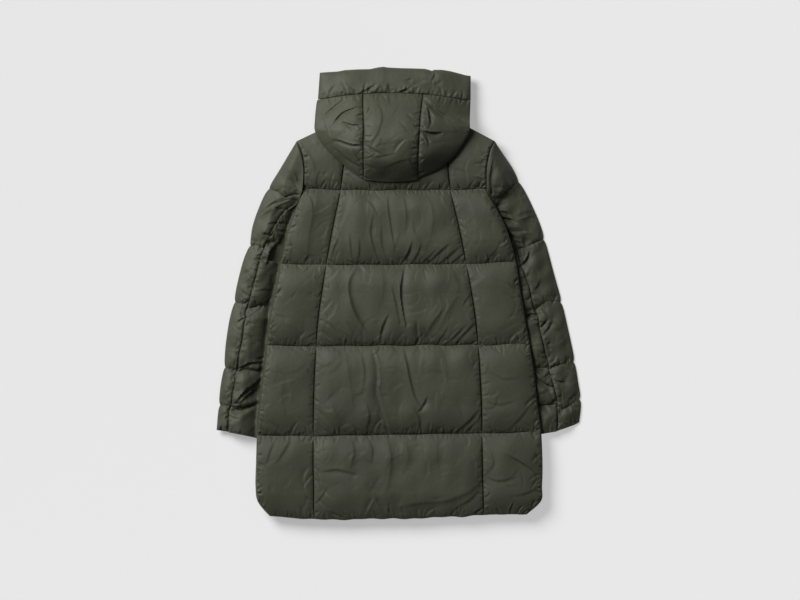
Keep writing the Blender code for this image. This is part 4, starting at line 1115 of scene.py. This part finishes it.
BRIM_FOLDS = rows_of("""
355 94.5 361 92.5 364 88 2 2.6 -1
364 91 367 89 375 84 2.2 2.8 -1
399 92 403 90 408 88 2.8 2.8 -1
412 88 422 84 430 82 1.4 3 1
404 80 408 79 412 78.5 1.2 2.6 -1
433 84 437 82 441 80 1.2 2.6 -1
424 95 427 94 430 92.5 1.6 2.4 -1
432 70.5 433 75 431 81 1.4 3 1
333 92 345 88 358 89 1 5 1
""")
# outline of the brim: pixels
BRIM_OUTLINE = table("""
320 72.6  328 72  337 71.5  345 70  357 69.3  370 69  378 67.3  383 66.6  388 67.4  400 68  413 68.3
425 68.7  430 70  432 70.8  434 69.7  442 69.7  450 71  458 73  465 75  470.8 75.9
""", 2)
BRIM_LINE = arc_line(-168, 148, 60, *BRIM_SEAM)
OUTLINE = np.concatenate((catmull(HOOD[:, 0:2], np.linspace(0, 8, 120)),
                          arc_line(*(end[0] for end in HOOD_BOTTOM), 40, *HOOD_BOTTOM, -HOOD_BOTTOM_DIP),
                          catmull(HOOD[:, 6:8], np.linspace(8, 0, 120))))
HOOD_SEAMS = [catmull(HOOD[:, k:k + 2], np.linspace(0, 8, 60)) for k in (2, 4)]


def hood_side():
    """Share of the hood's height that is reached at each distance from its free edge."""
    d = np.linspace(0.0, 150.0, 601)
    sums = np.cumsum(1.0 / (1.0 + (d / 43.0) ** 6))
    return d, (sums - sums[0]) / (sums[-1] - sums[0])


HOOD_SIDE = hood_side()


def distance_to(line, x, y):
    best = np.full(x.shape, 1e9)
    for a, b in zip(line, line[1:]):
        d = b - a
        size = float(d @ d)
        if size > 1e-9:
            t = np.clip(((x - a[0]) * d[0] + (y - a[1]) * d[1]) / size, 0, 1)
            best = np.minimum(best, np.hypot(x - a[0] - t * d[0], y - a[1] - t * d[1]))
    return best


def hood_height(x, y):
    """Top surface of the folded hood: it climbs from the brim and drops fast at the free edge."""
    order = np.argsort(HOOD[:, 1])
    mid_y = 0.5 * (HOOD[:, 1] + HOOD[:, 7])[order]
    fold = np.interp(y, mid_y, HOOD[order, 8]) - 4.6 * ramp(-y, -365.0, 30.0)
    fold -= 0.62 * (fold - 20.0) * ramp(x, 60.0, 70.0) * ramp(y, 350.0, 26.0)
    to_fold = distance_to(OUTLINE, x, y)
    from_brim = np.maximum(0.0, arc(x, *BRIM_SEAM) - y)
    crown = lerp(BRIM_TOP, 93.0, rise(from_brim, 100.0, 1.45))
    reach = lerp(60.0, 88.0, ramp(y, 285.0, 60.0)) + 22.0 * ramp(x, 30.0, 40.0) * ramp(y, 285.0, 50.0)
    reach = lerp(reach, 64.0, np.exp(-from_brim / 16.0))
    steep = np.interp(to_fold, *HOOD_SIDE)
    even = 0.08 * quarter(to_fold, 6.0) + 0.92 * rise(to_fold, reach, 1.5 - 0.3 * ramp(x, 30.0, 30.0))
    lift = (crown - fold) * lerp(steep, even, ramp(y, 272.0, 46.0))
    to_seam = np.minimum(*(distance_to(seam, x, y) for seam in HOOD_SEAMS))
    lift *= 0.90 + 0.10 * rise(to_seam, 30.0)
    groove = 4.0 * np.exp(-(to_seam / 1.15) ** 2) + 1.1 * np.exp(-(to_seam / 4.5) ** 2)
    z = fold + lift - groove * rise(to_fold, 12.0) - 3.6 * np.exp(-from_brim / 3.0) * rise(to_fold, 30.0)
    near = np.minimum(np.minimum(to_fold, to_seam), from_brim)
    relief = Relief(x, y)
    relief.folds(HOOD_FOLDS, 1.7, 0.85, crest=0.4, start=0.4, stop=0.4, sharp=0.3)
    for k, seam in enumerate(HOOD_SEAMS):
        for turn in (1, -1):
            relief.puckers(seam, turn, 900 + 7 * k + turn, (8, 16), (7, 20), (0.8, 2.2), (1.2, 2.1), 0.5)
    relief.puckers(BRIM_LINE, -1, 930, (8, 15), (6, 16), (0.8, 2.0))
    z += relief.z * rise(near, 3.0, 1.5)
    z += (0.5 * LUMPS(x * 1.3, y * 1.3 - 90) + 0.12 * crinkle(x * 1.1, y * 1.1)) * rise(near, 14.0)
    return z + small_folds(x, y, 77, 700, (0.15, 0.7), (1.3, 3.4), (10, 45), 1.4) * rise(near, 6.0)


def hood_under(x, y):
    return np.where(y < neckline(x) + NECK_REACH, HOOD_FLOOR, slit_height(y) + GAP)


def tuck(edge, inward):
    """Points of the roll under the hood's free edge."""
    out = []
    for k in range(1, 7):
        angle = 0.5 * math.pi * k / 6
        p = edge.copy()
        p[:, :2] += inward * (11.0 * (1.0 - math.cos(angle)))
        floor = hood_under(p[:, 0], p[:, 1]) + 0.2
        p[:, 2] = edge[:, 2] - (edge[:, 2] - floor) * math.sin(angle)
        out.append(p)
    return out


def hood_panel(name, part):
    """One panel of the folded hood; its free edge rolls over and under."""
    v = np.linspace(0, 8, int(8 * 22 / (1.7 * FINE)))
    a, b = (catmull(HOOD[:, k:k + 2], v) for k in (2 * part + 2, 2 * part + 4))
    if part == 0:
        t = np.linspace(0, 1, 7)[1:, None]
        a, b = (np.concatenate((line, lerp(line[-1], np.array(end), t)))
                for line, end in zip((a, b), HOOD_BOTTOM))
        v = np.concatenate((v, 8 + t[:, 0]))
    a = a + (0.0 if part < 0 else GAP / 2, 0)
    b = b - (0.0 if part > 0 else GAP / 2, 0)
    u = spaced(110.0, 0.9, 1.7) / 110.0
    xy = grid(a, b, u)
    x, y = xy[..., 0], xy[..., 1]
    if part == 0:
        y = y - np.maximum(0.0, v - 8.0)[:, None] * HOOD_BOTTOM_DIP * bow(u)
    y = lerp(arc(x, *BRIM_SEAM) - 0.8, y, np.minimum(1.0, v)[:, None])
    top, = layers(x, y, np.maximum(hood_height(x, y), hood_under(x, y) + 1.0))
    if part == 0:
        outer = np.concatenate((top, tuck(top[-1], np.array((0.0, 1.0)))))
    else:
        to_seam = (a - b) * part
        size = np.linalg.norm(to_seam, axis=1)[:, None]
        inward = to_seam / np.maximum(size, 1e-6) * np.minimum(1.0, size / 24.0)
        under = np.stack(tuck(top[:, 0 if part < 0 else -1], inward), 1)
        outer = np.concatenate((under[:, ::-1], top) if part < 0 else (top, under), 1)
    inner = outer.copy()
    inner[..., 2] = np.minimum(hood_under(outer[..., 0], outer[..., 1]) + 0.15, outer[..., 2] - 0.02)
    return wall(name, outer, inner)


def brim_piece():
    """Band round the face opening: upper half, and lower half that is open at the zip."""
    half = spaced(150.0, 2.6, 2.8) / 150.0
    full = spaced(320.0, 1.4, 1.9) / 160.0 - 1.0
    # from the zip out on the left below, across above (layer 1), and back in on the right below
    share = np.concatenate((-half[:-1], (-1.0,), full[1:-1], (1.0,), half[::-1][1:]))
    layer = np.repeat((-1, 0, 1, 0, -1), (len(half) - 1, 1, len(full) - 2, 1, len(half) - 1))
    share[0], share[-1] = -1e-9, 1e-9
    rows = spaced(55.0, 0.9, 1.9)[:, None] / 55.0
    wide = np.where(layer < 0, FRONT_EDGE, 0.0) * np.sign(share)

    def along(left, right, lift):
        x = lerp(wide, np.where(share > 0, right[0], left[0]), np.abs(share))
        return np.stack((x, arc(x, left, right, lift)), -1)
    rim, seam = along(*BRIM_RIM), along(*BRIM_SEAM)
    rim[:, 1] = np.interp(rim[:, 0], *px(BRIM_OUTLINE).T)
    xy = lerp(rim, seam, rows[..., None])
    x, y = xy[..., 0], xy[..., 1] + GAP * rows
    from_end = (1.0 - np.abs(share)) * np.where(share > 0, BRIM_SEAM[1][0], -BRIM_SEAM[0][0])
    edge = quarter(from_end, 24.0)
    edge_top = np.where(share > 0, 0.25 * quarter(from_end, 14.0) + 0.75 * rise(from_end, 115.0, 1.7),
                        0.25 * quarter(from_end, 16.0) + 0.75 * rise(from_end, 60.0))
    length = np.linalg.norm(seam - rim, axis=1)
    d_rim, d_seam = rows * length, (1.0 - rows) * length
    up, down = layer > 0, layer < 0
    depth = np.where(up, 0.3 * quarter(d_rim, 12.0) + 0.7 * rise(d_rim, 66.0, 1.5),
                     quarter(d_rim, 30.0) * quarter(d_seam, 24.0))
    relief = Relief(x, y)
    relief.puckers(BRIM_LINE, 1, 940, (7, 14), (7, 18), (1.0, 2.4))
    relief.folds(BRIM_FOLDS, 1.7, 1.0, crest=0.45, start=0.5, stop=0.3, sharp=0.4)
    near = np.minimum(d_rim, d_seam)
    floor = BRIM_SLIT + GAP
    top = floor + (1.2 + (BRIM_TOP - floor - 1.2) * depth - 3.6 * np.exp(-d_seam / 3.0)) * edge_top
    top += relief.z * rise(near, 3.0) * edge
    top += (0.9 * LUMPS(x, y - 40) + 0.25 * crinkle(x, y)) * rise(near, 14.0) * edge
    inside = BRIM_SLIT - LAYER_DROP
    low = (inside - 1.4) * (1.0 - depth * edge * quarter(np.abs(x) - FRONT_EDGE, ZIP_ROUND))
    low += 0.5 * LUMPS(x, y) * rise(near, 12.0) * (1.0 - depth) * edge
    low = np.clip(above_zero(low, 0.5) - 0.04, 0.0, inside - 0.4)
    z = np.where(up, np.maximum(top, floor + 0.5), np.where(down, low, BRIM_SLIT))
    level = np.where(up, floor, np.where(down, inside, BRIM_SLIT - GAP))
    shift = np.where(layer == 0, np.where(share < 0, 5.0, -5.0), 0.0)
    ends = [int(i) + k for i in np.nonzero(layer == 0)[0] for k in (-1, 0, 1)]
    return wall("brim", *layers(x, y, z), *layers(x + shift, y, level), (0, *ends, -1))


def collar_piece(name, side):
    """Front half of the hood's neck: from the front's upper edge to the brim."""
    row = np.zeros(1)
    start, finish = front_point(side, row, 0.0)[0], front_point(side, row)[0]
    size = np.linalg.norm(start - finish)
    normal = np.array(((start[1] - finish[1]) / size * -side, abs(finish[0] - start[0]) / size))
    corner = BRIM_SEAM[0 if side < 0 else 1][0] - side * COLLAR_INSET
    shares = spaced(95.0, 1.4, 3.4, (True, False))[:-1] / 95.0 * 0.76
    from_zip = np.array((22, 19, 16, 13, 10.5, 8, 6, 4, 2.5, 1.2, 0))
    low = np.array([front_point(side, row, s)[0] + normal * 0.5 for s in shares]
                   + [front_point(side, row, from_zip=d)[0] + normal * (0.0, 0.5) for d in from_zip])
    high = np.concatenate((lerp(corner, 0.0, shares), side * (FRONT_EDGE + from_zip)))
    rows = spaced(140.0, 1.4, 3.8)[:, None] / 140.0
    x = lerp(low[:, 0], high, rows ** 1.5)
    y = lerp(low[:, 1], arc(high, *BRIM_SEAM) - 0.8, rows)
    from_zip = np.abs(x) - FRONT_EDGE
    near_row = np.minimum(rows, 1.0 - rows) * 140.0
    depth = quarter(near_row, 38.0) * quarter(from_zip, ZIP_ROUND)
    depth[:, :len(shares)] *= np.minimum(1.0, shares * 2.2)
    ceiling = slit_height(y) - LAYER_DROP - GAP
    z = (ceiling - 2.6) * (1.0 - depth)
    soft = rise(np.minimum(near_row, from_zip), 12.0)
    z += (0.7 * LUMPS(x, y + 200) + 0.5 * crinkle(x, y)) * soft * (1 - depth)
    return wall(name, *layers(x, y, np.clip(above_zero(z, 0.5) - 0.04, 0.0, ceiling - 0.5), ceiling))


# ------------------------------------------------------------------ zip
TAPE_LEVEL = 0.45         # from the slit down to the middle of the tape
TOOTH_PITCH = 2.5
CHAIN_FOOT = 4.0          # from the slit down to the face of the teeth
SLIDER_Y = 436.0
PIN_Z = 10.9
PIN_RADIUS = 0.9
PULL_LENGTH = 30.0
PULL_HALF = 0.8           # half of the tab's thickness


def circle(count):
    return [(math.cos(math.tau * k / count), math.sin(math.tau * k / count)) for k in range(count)]


def ring_faces(a, b, n):
    """Faces between two rings of n points each."""
    return [(a * n + k, a * n + (k + 1) % n, b * n + (k + 1) % n, b * n + k) for k in range(n)]


def loft(rings):
    """A closed solid through rings of as many points each: its points and its faces."""
    n, last = len(rings[0]), len(rings) - 1
    faces = [face for r in range(last) for face in ring_faces(r, r + 1, n)]
    faces += [tuple(range(n)), tuple(range(last * n, last * n + n))]
    return [p for ring in rings for p in ring], faces


def extrude(outline, levels, place):
    """A closed solid from a plan outline and (height, scale) levels."""
    outline = np.asarray(outline, float)
    middle = outline.mean(0)
    return loft([[place(*p, height) for p in middle + (outline - middle) * scale]
                 for height, scale in levels])


def join(name, parts, material, angle):
    """One object from several solids."""
    verts, faces = [], []
    for points, polygons in parts:
        faces += [tuple(len(verts) + k for k in polygon) for polygon in polygons]
        verts += points
    return new_object(name, verts, faces, material, angle)


def zip_tape():
    """Both tapes as one sheet with a slot between them, and a cord sewn in beside the teeth."""
    half = (0.5, 0.9, 1.4, 1.9, 2.5, 3.4, 5.0, 7.0, 9.0, 11.0, 13.0, 14.4, 15.0)
    x, y = np.meshgrid(half, np.linspace(*ZIP_ENDS, 300))
    cord = 0.35 * np.exp(-((x - 1.4) / 0.8) ** 2)
    parts = []
    for side in (-1, 1):
        wave = 0.12 * LUMPS(6.0 * x * side, y) * np.minimum(1.0, x / 9.0)
        points, = layers(side * x, y, slit_height(y) - TAPE_LEVEL - cord + wave)
        faces = quads(*x.shape)
        parts.append((points.reshape(-1, 3).tolist(), faces if side > 0 else np.roll(faces[:, ::-1], 1, 1)))
    return join("zip_tapes", parts, TAPE, 55.0)


def zip_chain():
    """Meshed teeth of the closed zip, its top stops and the box at the hem."""
    tooth = table("2.7 -.42  1.1 -.42  .5 -.78  -.5 -.66  -.95 0  -.5 .66  .5 .78  1.1 .42  2.7 .42", 2)
    stop = table("0.4 -2.2 2.6 -2.2 2.9 -1.6 2.9 1.8 2.2 2.4 0.6 2.4", 2)
    box = table("-4 -4.6 4 -4.6 4.5 -4 4.5 4 3.6 5.2 -3.6 5.2 -4.5 4 -4.5 -4", 2)

    def at(side, y):
        level = float(slit_height(y)) - TAPE_LEVEL
        return lambda a, b, h: (side * a, y + b, level + h)
    parts = []
    for side in (-1, 1):
        first = ZIP_ENDS[0] + 12.0 + (0.5 * TOOTH_PITCH if side > 0 else 0.0)
        for y in np.arange(first, SLIDER_Y + 9.0, TOOTH_PITCH):
            parts.append(extrude(tooth, ((-0.2, 0.86), (-0.5, 1.0), (-2.6, 1.0),
                                         (-CHAIN_FOOT + TAPE_LEVEL + 0.2, 0.8)), at(side, y)))
        parts.append(extrude(stop, ((0.6, 0.8), (0.2, 1.0), (-2.0, 1.0), (-2.6, 0.8)),
                             at(side, SLIDER_Y + 12.0)))
    parts.append(extrude(box, ((0.4, 0.9), (0.1, 1.0), (-2.9, 1.0), (-3.5, 0.88)),
                         at(1, ZIP_ENDS[0] + 6.2)))
    return join("zip_teeth", parts, BRASS, 35.0)


def slider_body():
    """Shield-shaped plate with a flange along each side, two lugs and the pin that the pull swings on."""
    plate = table("-3.2 -6.4  3.2 -6.4  3.9 -5.6  3.6 -1  4.2 3.4  4.1 5.4  2.6 6.4  0 5  -2.6 6.4"
                  "  -4.1 5.4  -4.2 3.4  -3.6 -1  -3.9 -5.6", 2)
    flange = table("3.15 -5.8 3.75 -5.6 3.5 -1 4.1 3.4 4 5.2 3.35 5.4 3.45 3.4 2.95 -1", 2)
    lug = [(-2.0, 14.2), (-2.0, 11.4)]
    lug += [(1.75 * math.cos(t), PIN_Z + 1.75 * math.sin(t)) for t in np.linspace(math.pi, math.tau, 9)]
    lug += [(2.0, 11.4), (2.0, 14.2)]
    parts = [extrude(plate, ((16.7, 0.97), (16.4, 1.0), (14.5, 1.0), (14.0, 0.93), (13.6, 0.8)),
                     lambda a, b, h: (a, SLIDER_Y + b, h))]
    for side in (-1, 1):
        parts.append(extrude(flange, ((19.4, 0.96), (19.1, 1.0), (16.3, 1.0)),
                             lambda a, b, h: (side * a, SLIDER_Y + b, h)))
        parts.append(extrude(lug, ((-0.7, 0.94), (-0.5, 1.0), (0.5, 1.0), (0.7, 0.94)),
                             lambda a, b, h: (side * 3.3 + h, SLIDER_Y + a, b)))
    parts.append(loft([[(x, SLIDER_Y + r * c, PIN_Z + r * s) for c, s in circle(14)]
                       for x, r in ((-3.3, PIN_RADIUS * 0.7), (-3.05, PIN_RADIUS), (3.05, PIN_RADIUS),
                                    (3.3, PIN_RADIUS * 0.7))]))
    return join("slider", parts, BRASS, 35.0)


def pull_tab():
    """Eye round the slider's pin, and a tapering tab with a raised rim and a hole near its end."""
    drop = math.asin((PIN_Z - PULL_HALF - GAP) / PULL_LENGTH)

    def place(along, across, out):
        # along runs from the pin towards the hem and down, out away from the tab's upper face
        return (across, SLIDER_Y - along * math.cos(drop) + out * math.sin(drop),
                PIN_Z - along * math.sin(drop) - out * math.cos(drop))
    eye = [place(radius * c, across, radius * s)
           for across, *radii in ((-2.3, 1.9, 1.35), (-2.0, 2.1, 1.2), (2.0, 2.1, 1.2), (2.3, 1.9, 1.35))
           for radius in radii for c, s in circle(24)]
    eye_faces = [face for a, b in ((0, 2), (2, 4), (4, 6), (1, 0), (3, 1), (5, 3), (7, 5), (6, 7))
                 for face in ring_faces(a, b, 24)]
    # tab: cross rings from the eye to the rounded end, with a raised rim
    rings = []
    for along, half in table("1.7 2.3  3 2.3  4.5 1.7  8 1.6  13 1.9  20 2.25  25.5 2.3  28 2.05"
                             "  29.3 1.5  29.9 0.7", 2):
        rim = min(0.5, half * 0.35)
        face = PULL_HALF - (0.35 if 9.0 < along < 28.5 else 0.0)
        section = [(-half, -PULL_HALF + 0.3), (-half + 0.2, -PULL_HALF), (-half + rim + 0.2, -PULL_HALF),
                   (-half + rim + 0.35, -face)]
        section += [(-a, o) for a, o in reversed(section)]
        section += [(a, -o) for a, o in reversed(section)]
        rings.append([place(along, across, out) for across, out in section])
    return join("pull_tab", [(eye, eye_faces), loft(rings)], BRASS, 40.0)


# ------------------------------------------------------------------ stitches
STITCH = 3.6              # from one stitch to the next
STITCH_LENGTH = 2.7
STITCH_RADIUS = 0.34


def surface_of(objects):
    verts, faces = [], []
    for item in objects:
        base = len(verts)
        verts += [v.co[:] for v in item.data.vertices]
        faces += [tuple(base + k for k in f.vertices) for f in item.data.polygons]
    return BVHTree.FromPolygons(verts, faces)


def stitch_run(tree, line, turn=1.0):
    """Lock stitches that follow a line over a surface, seen from above (turn 1) or from below."""
    _, run = lengths(line)
    parts = []
    for at in np.arange(1.2, run[-1] - STITCH_LENGTH - 1.0, STITCH):
        ends = []
        for s in (at, at + STITCH_LENGTH):
            x, y = (np.interp(s, run, line[:, k]) for k in (0, 1))
            hit = tree.ray_cast(Vector((x * MM, y * MM, 0.2 * turn)), Vector((0.0, 0.0, -turn)))[0]
            if hit is not None:
                ends.append(np.array((x, y, hit.z / MM)))
        if len(ends) < 2 or abs(ends[0][2] - ends[1][2]) > 2.0:
            continue
        a, b = ends
        along = (b - a) / np.linalg.norm(b - a)
        across = np.cross(along, (0.0, 0.0, 1.0))
        across /= np.linalg.norm(across)
        up = np.cross(across, along)
        rings = []
        for share, radius, lift in table("0 .35 -.25  .2 1 .1  .8 1 .1  1 .35 -.25", 3):
            centre = a + (b - a) * share + turn * up * lift
            rings.append([centre + STITCH_RADIUS * radius * (c * across + s * up) for c, s in circle(5)])
        parts.append(loft(rings))
    return parts


def stitches_above(backs, sleeves):
    parts = []
    tree = surface_of(backs)
    for line in range(1, 5):
        for left in (0, 1, 2):
            points = quilt_line(line, left, left + 1)
            points[:, 1] += line_wave(points[:, 0], line)
            parts += stitch_run(tree, points)
    tree = surface_of(sleeves)
    for side in (-1, 1):
        for part, at in ((0, np.linspace(0.06, 0.97, 30)), (1, np.linspace(1.03, 1.6, 20))):
            for line in range(1 + part, 6):
                parts += stitch_run(tree, sleeve_line(side, part, line, at))
    return join("stitches_back", parts, THREAD, 180.0)


def stitches_below(fronts):
    tree = surface_of(fronts)
    parts = []
    for side in (-1, 1):
        for line in range(1, 5):
            parts += stitch_run(tree, front_line(side, line)[3:-2], -1.0)
    return join("stitches_front", parts, THREAD, 180.0)


# ------------------------------------------------------------------ camera, light, floor
WHITE = (1.0, 1.0, 1.0, 1.0)
KEY_AT = (-2.34, 2.08, 2.73)      # softbox, up to the left of the coat
KEY_AIM = (0.0, -0.45, 0.0)
KEY_SIZE = 2.3
KEY_SPREAD = 0.64                 # square of half its size, less what the distance takes off
KEY_POWER = 244.0
WORLD = 0.065
FILL = 0.12
FLOOR_GREY = 0.45
FLOOR_LEVEL = 0.81
FLOOR_HALF = 6.0
CAMERA_HEIGHT = 10.0
SENSOR = 36.0


def stage():
    scene = bpy.context.scene

    def put(name, data, location=(0.0, 0.0, 0.0), towards=None):
        item = bpy.data.objects.new(name, data)
        item.location = location
        if towards:
            item.rotation_euler = towards.to_track_quat("-Z", "Y").to_euler()
        scene.collection.objects.link(item)
        return item

    world = bpy.data.worlds.new("soft_studio")
    world.use_nodes = True
    background = world.node_tree.nodes["Background"].inputs
    background["Color"].default_value = WHITE
    background["Strength"].default_value = WORLD
    scene.world = world

    light = bpy.data.lights.new("softbox", "AREA")
    light.shape = "DISK"
    light.size = KEY_SIZE
    light.energy = KEY_POWER
    aim = (Vector(KEY_AIM) - Vector(KEY_AT)).normalized()
    put("softbox", light, KEY_AT, aim)
    light = bpy.data.lights.new("fill", "SUN")
    light.energy = FILL
    light.angle = math.radians(70)
    down = Vector((-0.25, -0.30, -0.90)).normalized()
    put("fill", light, towards=down)

    # the floor is lit from within as a light table is: what the softbox lacks, the table adds
    m = Material("pale_floor")
    ray = m.vector("SUBTRACT", "Vector", m.where, KEY_AT)
    far = m.vector("LENGTH", "Value", ray)
    facing = m.vector("DOT_PRODUCT", "Value", ray, tuple(aim))
    spread = m.math("POWER", m.math("MULTIPLY_ADD", far, far, KEY_SPREAD), -2.0)
    other = math.pi * WORLD + FILL * -down.z
    glow = m.math("MULTIPLY_ADD", m.math("MULTIPLY", facing, spread),
                  -1.02 * FLOOR_GREY / math.pi * KEY_POWER / math.pi * KEY_AT[2],
                  FLOOR_LEVEL - FLOOR_GREY / math.pi * other)
    grain = m.add("TexNoise", "Fac", {"Vector": m.where, "Scale": 3.0})
    grey = (FLOOR_GREY,) * 3
    m.fill(m.shader, {"Base Color": m.mix(grain, shade(grey, 0.997), shade(grey, 1.003)),
                      "Roughness": 0.9, "Specular IOR Level": 0.1, "Emission Color": WHITE,
                      "Emission Strength": m.math("MAXIMUM", glow, 0.0)})
    m.material.cycles.emission_sampling = "NONE"
    data = bpy.data.meshes.new("floor")
    data.from_pydata([(x * FLOOR_HALF, y * FLOOR_HALF, 0) for x, y in ((-1, -1), (1, -1), (1, 1), (-1, 1))],
                     [], [(0, 1, 2, 3)])
    data.materials.append(m.material)
    put("floor", data, (0.0, 0.0, -0.0004))

    camera = bpy.data.cameras.new("camera")
    camera.sensor_width = SENSOR
    camera.lens = SENSOR * CAMERA_HEIGHT / (800 * PIXEL * MM)      # the photograph is 800 pixels wide
    camera.clip_end = 60.0
    scene.camera = put("camera", camera, (0.0015, -0.0132, CAMERA_HEIGHT + 0.025))
    scene.view_settings.view_transform = "Standard"


stage()


# ------------------------------------------------------------------ build
def add(piece, *nodes, body="coat", slot="shell", fill=0.6):
    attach(piece, body)
    if nodes:
        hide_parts(*nodes)
    return piece


BACKS = [back_panel("back_middle", 1, 2), back_panel("back_left", 0, 1), back_panel("back_right", 2, 3)]
FRONTS = [front_panel("front_left_panel", -1), front_panel("front_right_panel", 1)]
for panel, node in zip(BACKS + FRONTS,
                       ("back_center", "back_side_left", "back_side_right", "front_left", "front_right")):
    add(panel, node)
SLEEVE_PIECES = [add(sleeve_piece(f"sleeve_{word}_{layer}", side, fold, 300 + side),
                     f"sleeve_{word}_{node}")
                 for side, word in ((-1, "left"), (1, "right"))
                 for layer, fold, node in (("top", 0.0, "upper"), ("low", 2.0, "under"))]
add(hood_panel("hood_middle", 0), "hood_center", fill=0.7)
add(hood_panel("hood_left", -1), "hood_side_left", fill=0.7)
add(hood_panel("hood_right", 1), "hood_side_right", fill=0.7)
add(brim_piece(), "hood_brim", fill=0.7)
add(collar_piece("collar_left_panel", -1), "collar_left")
add(collar_piece("collar_right_panel", 1), "collar_right")
TAPES = add(zip_tape(), "zip", slot="zip_tape", fill=None)
add(zip_chain(), slot="zip_metal", fill=None)
add(slider_body(), "zip_slider", slot="zip_metal", fill=None)
add(pull_tab(), "zip_pull", body="pull", slot="zip_metal", fill=None)
add(stitches_above(BACKS, SLEEVE_PIECES), fill=None)
add(stitches_below(FRONTS), fill=None)
